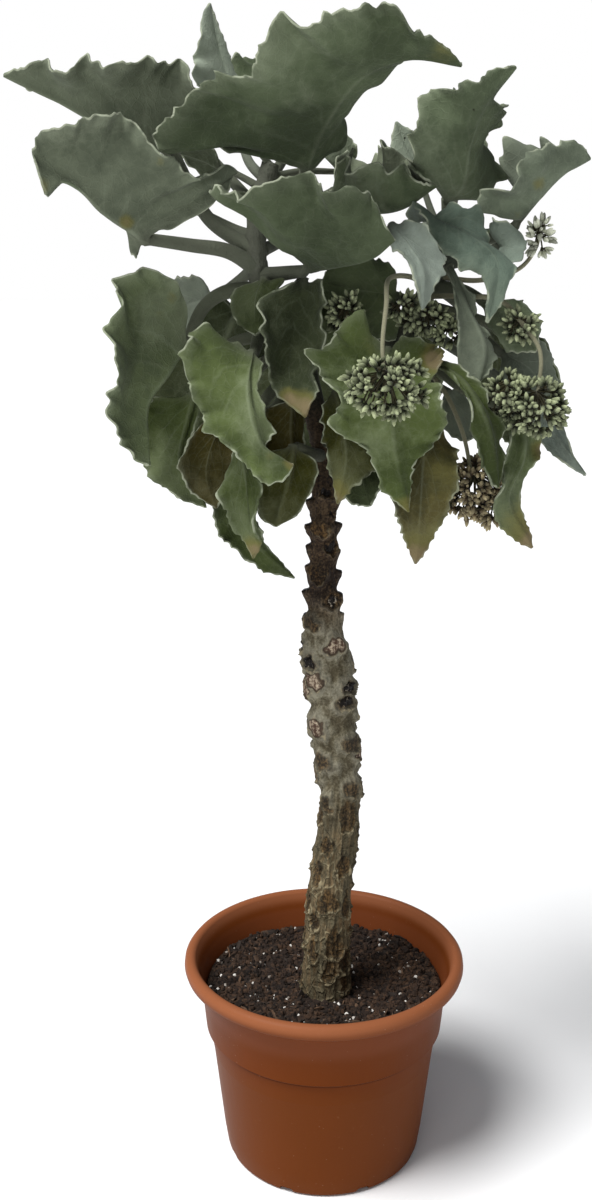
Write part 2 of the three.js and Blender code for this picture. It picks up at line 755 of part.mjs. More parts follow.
    name: 'leaf_back_right_top',
    stalk: [[105, 2, 913], [109, 26, 923]],
    rib: [[117, 58, 946], [126, 104, 984], [140, 148, 1028]],
    left: [[94, 76, 961], [93, 112, 999], [113, 138, 1032]],
    right: [[143, 72, 959], [152, 110, 994], [152, 138, 1023]],
    rows: 9,
    flat: true,
    tint: 'grey',
  },
  {
    name: 'leaf_back_left_top',
    stalk: [[-57, -13, 923], [-79, 26, 947]],
    rib: [[-110, 62, 981], [-165, 110, 1015], [-230, 148, 1046]],
    left: [[-114, 80, 1017], [-163, 116, 1049], [-208, 138, 1061]],
    right: [[-143, 92, 978], [-188, 124, 998], [-224, 146, 1030]],
    rows: 9,
    flat: true,
    tint: 'grey',
  },
  {
    name: 'leaf_back_left_mid',
    stalk: [[-60, -15, 903], [-82, 22, 911]],
    rib: [[-112, 54, 926], [-165, 112, 952], [-219, 164, 976]],
    left: [[-124, 74, 955], [-175, 120, 978], [-211, 152, 992]],
    right: [[-138, 84, 926], [-178, 126, 938], [-217, 160, 961]],
    rows: 9,
    flat: true,
    tint: 'grey',
  },
  {
    name: 'leaf_back_mid',
    stalk: [[-59, -14, 893], [-46, 22, 899]],
    rib: [[-32, 56, 907], [-16, 118, 916], [2, 178, 931]],
    left: [[-59, 70, 925], [-47, 124, 942], [-12, 166, 954]],
    right: [[-8, 66, 888], [17, 124, 896], [26, 168, 918]],
    rows: 9,
    flat: true,
    tint: 'grey',
  },
  {
    name: 'leaf_back_right_mid',
    stalk: [[103, 2, 893], [107, 28, 898]],
    rib: [[114, 48, 905], [135, 112, 908], [159, 172, 916]],
    left: [[87, 70, 904], [93, 116, 907], [127, 160, 917]],
    right: [[157, 66, 904], [179, 110, 905], [179, 158, 913]],
    rows: 9,
    flat: true,
    tint: 'grey',
  },
  {
    name: 'leaf_back_left_low',
    stalk: [[-46, -14, 836], [-62, 24, 835]],
    rib: [[-80, 58, 826], [-116, 108, 770], [-135, 126, 689]],
    left: [[-113, 78, 844], [-150, 100, 800], [-157, 120, 751], [-153, 128, 713]],
    right: [[-47, 84, 802], [-66, 116, 750], [-103, 128, 702]],
    rows: 9,
    flat: true,
    tint: 'dark',
  },
  {
    name: 'leaf_back_centre_low',
    stalk: [[-5, -8, 746], [-13, 26, 786]],
    rib: [[-17, 58, 806], [-16, 106, 751], [-22, 118, 678]],
    left: [[-41, 74, 792], [-56, 108, 743], [-44, 118, 700]],
    right: [[12, 76, 797], [17, 108, 743], [1, 118, 696]],
    rows: 9,
    flat: true,
    tint: 'dark',
  },
  {
    name: 'leaf_back_right_low',
    stalk: [[63, 0, 820], [65, 26, 822]],
    rib: [[67, 56, 824], [76, 106, 761], [81, 114, 676]],
    left: [[39, 78, 812], [41, 108, 751], [60, 114, 702]],
    right: [[103, 78, 816], [110, 108, 753], [102, 114, 702]],
    rows: 9,
    flat: true,
    tint: 'dark',
  },
  {
    name: 'leaf_back_far_low',
    stalk: [[92, 0, 866], [116, 28, 850]],
    rib: [[146, 58, 826], [182, 96, 773], [194, 102, 704]],
    left: [[135, 72, 809], [152, 98, 752], [174, 104, 716]],
    right: [[185, 76, 822], [216, 90, 775], [214, 98, 724]],
    rows: 9,
    flat: true,
    tint: 'dark',
  },
  {
    name: 'leaf_centre_shade',
    stalk: [[77, 0, 841], [69, -10, 849]],
    rib: [[61, -18, 855], [32, -28, 860], [-6, -32, 867]],
    left: [[59, -22, 833], [33, -24, 822], [5, -26, 823]],
    right: [[58, -24, 877], [32, -36, 888], [4, -38, 885]],
    rows: 9,
    flat: true,
    tint: 'dark',
  },
];

// Each cluster by points on its stalk, and the centre, half sizes and number of buds of its heads
const budClusters = [
  {
    name: 'buds_front',
    stalk: [[89, 0, 861], [69, -45, 871], [48, -84, 869], [44, -118, 849], [40, -142, 816]],
    heads: [
      { centre: [43, -152, 788], size: [35, 25, 26], buds: 34 },
    ],
    tint: 'fresh',
  },
  {
    name: 'buds_middle',
    stalk: [[77, 0, 841], [84, -30, 846]],
    heads: [
      { centre: [82, -54, 837], size: [22, 10, 11], buds: 20 },
    ],
    tint: 'fresh',
  },
  {
    name: 'buds_centre',
    stalk: [[24, -4, 765], [19, -26, 798]],
    heads: [
      { centre: [14, -55, 840], size: [12, 9, 17], buds: 14 },
    ],
    tint: 'fresh',
  },
  {
    name: 'buds_right',
    stalk: [[86, 0, 854], [118, -52, 855], [143, -66, 852], [162, -78, 831], [174, -88, 811]],
    heads: [
      { centre: [171, -98, 767], size: [28, 22, 26], buds: 31 },
      { centre: [160, -76, 831], size: [12, 7, 10], buds: 8 },
    ],
    tint: 'fresh',
  },
  {
    name: 'buds_dry',
    stalk: [[56, 0, 809], [95, -26, 783], [117, -44, 741]],
    heads: [
      { centre: [126, -50, 685], size: [25, 18, 25], buds: 20 },
    ],
    tint: 'brown',
  },
  {
    name: 'buds_far_right',
    stalk: [[96, 0, 871], [133, -12, 868], [166, -18, 878], [180, -14, 895]],
    heads: [
      { centre: [182, -15, 904], size: [7, 5, 15], buds: 8 },
    ],
    tint: 'pale',
  },
];

// Clusters of buds

// Even places on a ball, one after another round a spiral
function placesOnBall(count) {
  const golden = Math.PI * (3 - Math.sqrt(5));
  return Array.from({ length: count }, (_, i) => {
    const z = 1 - (2 * (i + 0.5)) / count;
    const flat = Math.sqrt(1 - z * z);
    return new THREE.Vector3(flat * Math.cos(i * golden), flat * Math.sin(i * golden), z);
  });
}

// A pointed bud: a slim eight-faced body that points outwards
function budSolid(place, outward) {
  const bud = new THREE.OctahedronGeometry(1);
  bud.scale(BUD_WIDTH / 2, BUD_WIDTH / 2, BUD_LENGTH / 2);
  bud.applyQuaternion(new THREE.Quaternion().setFromUnitVectors(new THREE.Vector3(0, 0, 1), outward));
  bud.translate(place.x, place.y, place.z);
  return solidFrom(bud);
}

// A thin stalk with one or more heads, each a core set with buds all round
function clusterSolid(cluster, clearStem) {
  const stalkPoints = [...cluster.stalk, cluster.heads[0].centre];
  const stalk = branch(stalkPoints, evenSteps(7), BUD_STALK_SIDES, () => BUD_STALK);
  const solids = [solidFrom(stalk)];
  for (const head of cluster.heads) {
    const size = point(head.size);
    const core = new THREE.IcosahedronGeometry(CORE_SHARE, 0);
    core.scale(...head.size);
    core.translate(...head.centre);
    solids.push(solidFrom(core));
    for (const place of placesOnBall(head.buds)) {
      const reach = place.multiply(size);
      const seat = reach.clone().multiplyScalar(BUD_SEAT).add(point(head.centre));
      solids.push(budSolid(seat, reach.normalize()));
    }
  }
  return mainBody(joined(solids).subtract(clearStem));
}

// Pot and soil

const neckTop = POT_HEIGHT - RIM_HEIGHT;

// Inside of the pot wall from the floor to under the rim, as radius and height
const innerWall = [
  [BASE_RADIUS - WALL - 2, FLOOR], [BASE_RADIUS - WALL + 2, HEEL_HEIGHT],
  [NECK_RADIUS - WALL - 5, STEP_HEIGHT], [NECK_RADIUS - WALL + 1, neckTop - 8],
];

// Distance from the middle of the pot to the inside of its wall
function wallAt(height) {
  const upper = innerWall.findIndex(([, z]) => z >= height);
  const [r0, z0] = innerWall[upper - 1];
  const [r1, z1] = innerWall[upper];
  return r0 + ((r1 - r0) * (height - z0)) / (z1 - z0);
}

function turned(profile) {
  const lathe = new THREE.LatheGeometry(profile.map(([r, z]) => new THREE.Vector2(r, z)), POT_SIDES);
  lathe.rotateX(Math.PI / 2);
  return solidFrom(lathe);
}

// Pot with a rounded heel, a slight step below its neck, a rolled rim and slots along the heel
function potSolid() {
  const outside = [
    [0, 0], [BASE_RADIUS - 4, 0], [BASE_RADIUS, 4], [BASE_RADIUS + 3, HEEL_HEIGHT],
    [NECK_RADIUS - 9, STEP_HEIGHT - 2], [NECK_RADIUS - 5, STEP_HEIGHT], [NECK_RADIUS + 1, neckTop - 5],
  ];
  const rim = [
    [RIM_RADIUS - 9, neckTop - 3], [RIM_RADIUS - 2, neckTop - 1], [RIM_RADIUS, neckTop + 4],
    [RIM_RADIUS - 2, POT_HEIGHT - 2], [RIM_RADIUS - 6, POT_HEIGHT], [RIM_RADIUS - 11, POT_HEIGHT - 2],
  ];
  let pot = turned([...outside, ...rim, ...[...innerWall].reverse(), [0, FLOOR]]);
  for (let slot = 0; slot < DRAIN_SLOTS; slot += 1) {
    const cutter = new THREE.BoxGeometry(...SLOT_SIZE);
    cutter.translate(BASE_RADIUS - 4, 0, 0);
    cutter.rotateZ((2 * Math.PI * (slot + 0.5)) / DRAIN_SLOTS);
    pot = pot.subtract(solidFrom(cutter));
  }
  return pot;
}

// Soil fills the pot and has a plain hole for the stem
function soilSolid(clearStem) {
  const shoulder = SOIL_TOP - 3;
  const soil = turned([
    [0, FLOOR + GAP], [wallAt(FLOOR + GAP) - SOIL_CLEAR, FLOOR + GAP],
    [wallAt(STEP_HEIGHT) - SOIL_CLEAR, STEP_HEIGHT], [wallAt(shoulder) - SOIL_CLEAR, shoulder],
    [NECK_RADIUS - 40, SOIL_TOP], [0, SOIL_TOP],
  ]);
  return mainBody(soil.subtract(clearStem));
}

// The whole plant

const plant = new THREE.Group();

function addPiece(name, solid, material) {
  const mesh = new THREE.Mesh(geometryOf(solid), material);
  mesh.name = name;
  plant.add(mesh);
}

const clearStem = stemSolid(GAP);
addPiece('pot', potSolid(), colourOf(potColour, 0.5));
addPiece('soil', soilSolid(clearStem), colourOf(soilColour, 1));
addPiece('stem', stemSolid(0), colourOf(barkColour, 0.9));
for (const shape of leaves) {
  addPiece(shape.name, leafSolid(shape, clearStem), colourOf(feltColours[shape.tint], 0.9));
}
for (const cluster of budClusters) {
  addPiece(cluster.name, clusterSolid(cluster, clearStem), colourOf(feltColours[cluster.tint], 0.9));
}

export default plant;
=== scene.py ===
"""A potted felt bush: a bare scarred stem, a crown of large felted leaves and bud clusters, in a
plastic nursery pot of soil. The part's frame gives the pot and the soil their size. Lengths are in
metres, but the tables of the stem, the leaves and the bud clusters are in millimetres."""
import math

import bpy
import numpy as np
from bpy.props import FloatProperty, FloatVectorProperty, IntProperty, PointerProperty
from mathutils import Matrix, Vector


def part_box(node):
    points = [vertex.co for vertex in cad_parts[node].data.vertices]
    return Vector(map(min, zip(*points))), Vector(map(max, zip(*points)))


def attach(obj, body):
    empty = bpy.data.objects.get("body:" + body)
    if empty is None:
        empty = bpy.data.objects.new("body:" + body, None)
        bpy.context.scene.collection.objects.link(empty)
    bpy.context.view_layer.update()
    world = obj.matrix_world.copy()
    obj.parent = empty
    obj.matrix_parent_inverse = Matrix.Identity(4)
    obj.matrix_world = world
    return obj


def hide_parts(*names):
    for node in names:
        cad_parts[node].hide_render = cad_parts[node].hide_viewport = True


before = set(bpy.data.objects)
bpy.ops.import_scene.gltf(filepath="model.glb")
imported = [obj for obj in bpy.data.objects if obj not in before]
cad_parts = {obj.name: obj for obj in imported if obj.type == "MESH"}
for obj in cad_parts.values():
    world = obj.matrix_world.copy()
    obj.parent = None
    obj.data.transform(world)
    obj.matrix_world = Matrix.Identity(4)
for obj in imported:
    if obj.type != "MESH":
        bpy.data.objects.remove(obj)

bl_info = {
    "name": "Potted felt bush",
    "version": (1, 0, 0),
    "blender": (4, 5, 0),
    "location": "3D View > Sidebar > Felt bush",
    "description": "Builds a felt bush in its pot around the frame of the part",
    "category": "Add Mesh",
}

MM = 0.001
TINY = 1e-12
_, POT_HIGH = (Vector(corner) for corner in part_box("pot"))
_, SOIL_HIGH = (Vector(corner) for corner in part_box("soil"))
RIM_RADIUS = POT_HIGH.x
POT_HEIGHT = POT_HIGH.z
SOIL_TOP = SOIL_HIGH.z


def rgb(code):
    """A colour such as '5a6656' as four linear numbers."""
    shades = [int(code[i:i + 2], 16) / 255 for i in (0, 2, 4)]
    linear = [s / 12.92 if s <= 0.04045 else ((s + 0.055) / 1.055) ** 2.4 for s in shades]
    return (*linear, 1.0)


def length(name, default, description):
    """A size that a user may change, in metres."""
    return FloatProperty(name=name, default=default, description=description, unit="LENGTH",
                         min=0.0001, precision=4)


def colour(name, code, description):
    """A colour that a user may change."""
    return FloatVectorProperty(name=name, default=rgb(code)[:3], description=description,
                               subtype="COLOR", size=3, min=0, max=1)


class FeltPotSizes(bpy.types.PropertyGroup):
    """Sizes and colour of the pot. The outer sizes come from the part's frame."""
    rim_radius: length("Rim radius", RIM_RADIUS, "Outer radius of the rolled rim")
    height: length("Height", POT_HEIGHT, "Height of the pot")
    rim_height: length("Rim height", 0.013, "Height of the rolled rim")
    neck_radius: length("Neck radius", 0.124, "Outer radius just under the rim")
    base_radius: length("Base radius", 0.099, "Outer radius of the base")
    step_height: length("Step height", 0.136, "Height of the slight step under the neck")
    wall: length("Wall", 0.0035, "Thickness of the wall")
    slots: IntProperty(name="Slots", default=8, min=0, description="Number of slots along the heel")
    plastic: colour("Plastic", "68310a", "Colour of the pot")


class FeltSoilSizes(bpy.types.PropertyGroup):
    """Sizes and counts for the potting mix."""
    crumb: length("Crumb", 0.0028, "Typical size of a crumb")
    crumbs: IntProperty(name="Crumbs", default=3300, min=0, description="Number of dark crumbs")
    chips: IntProperty(name="Chips", default=260, min=0, description="Number of bark chips")
    grit: IntProperty(name="Grit", default=330, min=0, description="Number of pale grains")
    dark: colour("Dark", "2a1f18", "Colour of the wet mix")


class FeltStemSizes(bpy.types.PropertyGroup):
    """Sizes and colours of the stem."""
    ring_step: length("Ring step", 0.0012, "Distance between the rings of the stem's mesh")
    sides: IntProperty(name="Sides", default=144, min=12, description="Sides of the stem's mesh")
    spur_depth: length("Spur depth", 0.0055, "How far the spurs of fallen leaves stand out")
    bark: colour("Bark", "6a624c", "Colour of the old bark")
    # The dark bark also shows in the hollows of the relief, as painted shade.
    dark_bark: colour("Dark bark", "2a2015", "Colour of the young dark bark and of the hollows")
    shoot: colour("Shoot", "63665a", "Colour of the felted shoots")


class FeltLeafSizes(bpy.types.PropertyGroup):
    """Sizes of the leaves."""
    thickness: length("Thickness", 0.0028, "Thickness of a blade")
    row_step: length("Row step", 0.0017, "Distance between rows of a blade's mesh")
    stalk_radius: length("Stalk radius", 0.0058, "Radius of a leaf stalk at its foot")
    tooth_spacing: length("Tooth spacing", 0.0085, "Typical distance between small teeth")
    tooth_depth: length("Tooth depth", 0.0022, "Depth of the small teeth of the margin")
    lobe_spacing: length("Lobe spacing", 0.025, "Typical distance between larger teeth")
    lobe_depth: length("Lobe depth", 0.0055, "Depth of the margin's larger teeth")
    dent: length("Dent depth", 0.0031, "Depth of the shallow dents all over the blade")
    wave_length: length("Wave length", 0.042, "Typical length of the margin's waves")
    wave_height: length("Wave height", 0.0078, "Height of the margin's waves")
    belly: length("Belly", 0.004, "How far a half blade bulges between rib and margin")


class FeltBudSizes(bpy.types.PropertyGroup):
    """Sizes of the bud clusters."""
    bud_length: length("Bud length", 0.0082, "Length of a bud")
    bud_width: length("Bud width", 0.004, "Width of a bud")
    stalk_radius: length("Stalk radius", 0.002, "Radius of a cluster's stalk")


# Lines, tubes and meshes

class Line:
    """A smooth line through points, measured along its length from 0 to 1."""

    PIECES = 24
    LEAST_GAP = 1e-9
    SIGHT = 0.01

    def __init__(self, points):
        self.points = self._through(np.array(points, float))
        steps = np.linalg.norm(np.diff(self.points, axis=0), axis=1)
        self.reach = np.concatenate([[0], np.cumsum(steps)])
        self.length = self.reach[-1]

    def _through(self, points):
        """Many points along the centripetal curve through a few."""
        ends = np.vstack([2 * points[0] - points[1], points, 2 * points[-1] - points[-2]])
        gaps = np.sqrt(np.maximum(np.linalg.norm(np.diff(ends, axis=0), axis=1), self.LEAST_GAP))
        t = np.arange(self.PIECES)[:, None] / self.PIECES
        pieces = []
        for i in range(1, len(ends) - 2):
            before, start, end, after = ends[i - 1:i + 3]
            d0, d1, d2 = gaps[i - 1:i + 2]
            run = end - start
            leaving = ((start - before) / d0 - (end - before) / (d0 + d1) + run / d1) * d1
            coming = (run / d1 - (after - start) / (d1 + d2) + (after - end) / d2) * d1
            pieces.append(start + leaving * t + (3 * run - 2 * leaving - coming) * t ** 2
                          + (leaving + coming - 2 * run) * t ** 3)
        return np.vstack([*pieces, points[-1:]])

    def at(self, u):
        """Points at places u along the line."""
        wanted = np.asarray(u) * self.length
        return np.stack([np.interp(wanted, self.reach, axis) for axis in self.points.T], axis=-1)

    def heading(self, u):
        """Directions of the line at places u."""
        u = np.asarray(u)
        ahead, behind = np.minimum(u + self.SIGHT, 1), np.maximum(u - self.SIGHT, 0)
        return unit(self.at(ahead) - self.at(behind))


def unit(vectors):
    """Vectors made one long."""
    return vectors / np.maximum(np.linalg.norm(vectors, axis=-1, keepdims=True), TINY)


def eased(values, low, high):
    """0 at low and 1 at high, with a smooth rise between. Low may be the larger."""
    t = np.clip((values - low) / (high - low), 0, 1)
    return t * t * (3 - 2 * t)


def evened(values, reach):
    """Values smoothed along their first axis over a number of rows."""
    reach = int(reach)
    if reach < 1:
        return values
    weights = np.hanning(2 * reach + 3)[1:-1]
    weights /= weights.sum()
    padded = np.concatenate([values[:1].repeat(reach, axis=0), values,
                             values[-1:].repeat(reach, axis=0)])
    columns = padded.reshape(len(padded), -1).T
    smooth = np.stack([np.convolve(column, weights, "valid") for column in columns], axis=-1)
    return smooth.reshape(values.shape)


def circle(sides):
    """Angles all round, from 0."""
    return 2 * np.pi * np.arange(sides) / sides


def skin(rings, first, last):
    """Vertices, quads and end fans of a closed body through rings of equal length."""
    count, size = rings.shape[:2]
    vertices = np.vstack([rings.reshape(-1, 3), [first, last]])
    here = np.arange(size)
    after = (here + 1) % size
    quads = np.concatenate([np.stack([low + here, low + after, low + size + after,
                                      low + size + here], axis=-1)
                            for low in range(0, (count - 1) * size, size)])
    start, end, top = count * size, count * size + 1, (count - 1) * size
    fans = [(start, n, k) for k, n in zip(here, after)]
    fans += [(end, top + k, top + n) for k, n in zip(here, after)]
    return vertices, quads, fans


def tube(line, places, radius, sides):
    """Rings round a line, one at each place, turned evenly from one to the next."""
    along = line.heading(places)
    side = np.cross(along, [0.0, 1.0, 0.0])
    steep = np.linalg.norm(side, axis=-1, keepdims=True) < 0.2
    side = unit(np.where(steep, np.cross(along, [1.0, 0.0, 0.0]), side))
    return hoops(line.at(places), side, np.cross(along, side), circle(sides), radius)


def hoops(centres, side, front, angle, radius):
    """Circles round centres, each spanned by two directions."""
    out = side[:, None] * np.cos(angle)[:, None] + front[:, None] * np.sin(angle)[:, None]
    return centres[:, None] + out * np.broadcast_to(radius, len(centres))[:, None, None]


class Shape:
    """Vertices, faces and values of a mesh that is put together from several bodies."""

    def __init__(self):
        self.vertices, self.faces, self.values = [], [], {}
        self.count = 0

    def add(self, vertices, *groups, **values):
        """Adds a body. Each value is one number for the body or one for each vertex."""
        for group in groups:
            self.faces.extend([tuple(int(v) + self.count for v in face) for face in group])
        for name, value in values.items():
            self.values.setdefault(name, []).append(np.broadcast_to(value, len(vertices)))
        self.vertices.append(vertices)
        self.count += len(vertices)

    def add_tube(self, line, places, radius, sides, **values):
        """Adds a closed tube round a line in millimetres."""
        rings = tube(line, places, radius, sides)
        vertices, quads, fans = skin(rings, rings[0].mean(axis=0), rings[-1].mean(axis=0))
        self.add(vertices * MM, quads, fans, **values)

    def object(self, name, smooth=True):
        """A new object at the origin with this mesh."""
        mesh = bpy.data.meshes.new(name)
        mesh.from_pydata(np.vstack(self.vertices).tolist(), [], self.faces)
        for key, parts in self.values.items():
            attribute = mesh.attributes.new(key, "FLOAT", "POINT")
            attribute.data.foreach_set("value", np.concatenate(parts).astype(np.float32))
        mesh.validate()
        if smooth:
            mesh.shade_smooth()
        made = bpy.data.objects.new(name, mesh)
        bpy.context.collection.objects.link(made)
        return made


def lone(piece):
    """Selects one object alone and makes it active, for the operators."""
    bpy.ops.object.select_all(action="DESELECT")
    piece.select_set(True)
    bpy.context.view_layer.objects.active = piece


def apply_modifier(piece, kind, **settings):
    """Adds a modifier and applies it at once."""
    modifier = piece.modifiers.new(kind.title(), kind)
    for key, value in settings.items():
        setattr(modifier, key, value)
    lone(piece)
    bpy.ops.object.modifier_apply(modifier=modifier.name)


def place_in(piece, node, material):
    """The piece stands for a node, rides on the root body and has its finish."""
    piece.data.materials.clear()
    piece.data.materials.append(material)
    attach(piece, "root")
    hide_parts(node)


# Materials

def maths(operation, reflected=False):
    """A method of Value for one of Python's operators, which adds a Math node."""
    def add_node(value, *others):
        numbers = [value, *others]
        if reflected:
            numbers.reverse()
        return value.nodes.add("Math", {"operation": operation}, dict(enumerate(numbers)))
    return add_node


class Value:
    """A socket of a material. Python's operators on it add Math nodes."""

    def __init__(self, nodes, socket):
        self.nodes, self.socket = nodes, socket

    __add__ = maths("ADD")
    __radd__ = maths("ADD", reflected=True)
    __sub__ = maths("SUBTRACT")
    __rsub__ = maths("SUBTRACT", reflected=True)
    __mul__ = maths("MULTIPLY")
    __rmul__ = maths("MULTIPLY", reflected=True)
    __pow__ = maths("POWER")
    __mod__ = maths("FLOORED_MODULO")
    __abs__ = maths("ABSOLUTE")
    least = maths("MINIMUM")
    most = maths("MAXIMUM")

    def rise(self, low, high):
        """0 at low, 1 at high, smooth between. Low may be the larger."""
        if low > high:
            return 1 - self.rise(high, low)
        return self.nodes.add("MapRange", {"interpolation_type": "SMOOTHSTEP"},
                              {"Value": self, "From Min": low, "From Max": high})


class Nodes:
    """The nodes of one material. A colour is a code such as "5a6656", four numbers or a Value."""

    def __init__(self, name):
        self.material = bpy.data.materials.new(name)
        self.material.use_nodes = True
        self.tree = self.material.node_tree
        self.shader = self.tree.nodes["Principled BSDF"]
        self.here = self.add("TexCoord", output="Object")

    def put(self, socket, value):
        """Links a value to a socket, or sets the socket to a number or colour."""
        if isinstance(value, str):
            value = rgb(value)
        if isinstance(value, Value):
            self.tree.links.new(value.socket, socket)
        elif socket.type == "VECTOR":
            socket.default_value = value[:3]
        else:
            socket.default_value = value

    def add(self, kind, settings=None, inputs=None, output=0):
        """Adds a node, sets it up and returns one of its outputs."""
        node = self.tree.nodes.new("ShaderNode" + kind)
        for key, value in (settings or {}).items():
            setattr(node, key, value)
        for key, value in (inputs or {}).items():
            self.put(node.inputs[key], value)
        return Value(self, node.outputs[output])

    def vector(self, operation, *sides):
        """Vector maths on two vectors."""
        return self.add("VectorMath", {"operation": operation}, dict(enumerate(sides)))

    def noise(self, scale, detail=2.0, rough=0.5, where=None):
        """Soft noise from 0 to 1, with so many lumps to the metre."""
        inputs = {"Vector": where or self.here, "Scale": scale, "Detail": detail,
                  "Roughness": rough}
        return self.add("TexNoise", {}, inputs)

    def cells(self, scale, feature="F1", output="Distance", where=None):
        """A pattern of cells: distances, edges or a random colour for each."""
        inputs = {"Vector": where or self.here, "Scale": scale}
        return self.add("TexVoronoi", {"feature": feature}, inputs, output)

    def shaken(self, scale, amount):
        """Object coordinates moved about by noise, so that a pattern on them wanders."""
        shake = self.add("TexNoise", {}, {"Vector": self.here, "Scale": scale}, "Color")
        centred = self.vector("SUBTRACT", shake, (0.5, 0.5, 0.5))
        return self.vector("ADD", self.here, self.shade(centred, amount))

    def stretched(self, by, where=None):
        """Coordinates with each axis multiplied. Less than 1 draws a pattern out along it."""
        return self.vector("MULTIPLY", where or self.here, by)

    def value(self, name):
        """A value that the mesh carries on its vertices."""
        return self.add("Attribute", {"attribute_name": name}, {}, "Fac")

    def axes(self, vector):
        """The three numbers of a vector."""
        split = self.add("SeparateXYZ", {}, {0: vector})
        return [Value(self, socket) for socket in split.socket.node.outputs]

    def mix(self, below, above, share):
        """One colour laid over another by a share from 0 to 1."""
        return self.add("Mix", {"data_type": "RGBA"}, {0: share, 6: below, 7: above}, 2)

    def layers(self, shown, *over):
        """A colour with others laid over it in turn, each with its share."""
        for top, share in over:
            shown = self.mix(shown, top, share)
        return shown

    def shade(self, shown, amount):
        """A colour or vector multiplied by an amount."""
        return self.add("VectorMath", {"operation": "SCALE"}, {0: shown, "Scale": amount})

    def finish(self, shown, rough, height=None, depth=0.0005, **plain):
        """Feeds the shader its colour, roughness and relief. Plain names set a socket."""
        self.put(self.shader.inputs["Base Color"], shown)
        self.put(self.shader.inputs["Roughness"], rough)
        if height is not None:
            inputs = {"Height": height, "Distance": depth, "Strength": 1.0}
            self.put(self.shader.inputs["Normal"], self.add("Bump", {}, inputs, "Normal"))
        for key, value in plain.items():
            self.shader.inputs[key.replace("_", " ")].default_value = value
        return self.material


# Leaves and bud clusters

def leaf_row(name, tint, stalk, rib, left, right, **more):
    """One row of the table of leaves, with the usual values of what it doesn't say."""
    usual = {"thin": 1, "teeth": 1, "waves": 1, "tone": 0, "age": 0, "patches": ()}
    return {"name": name, "tint": tint, "stalk": stalk, "rib": rib, "left": left, "right": right,
            **usual, **more}


def cluster_row(name, tint, stalk, *heads):
    """One row of the table of bud clusters."""
    return {"name": name, "tint": tint, "stalk": stalk, "heads": heads}


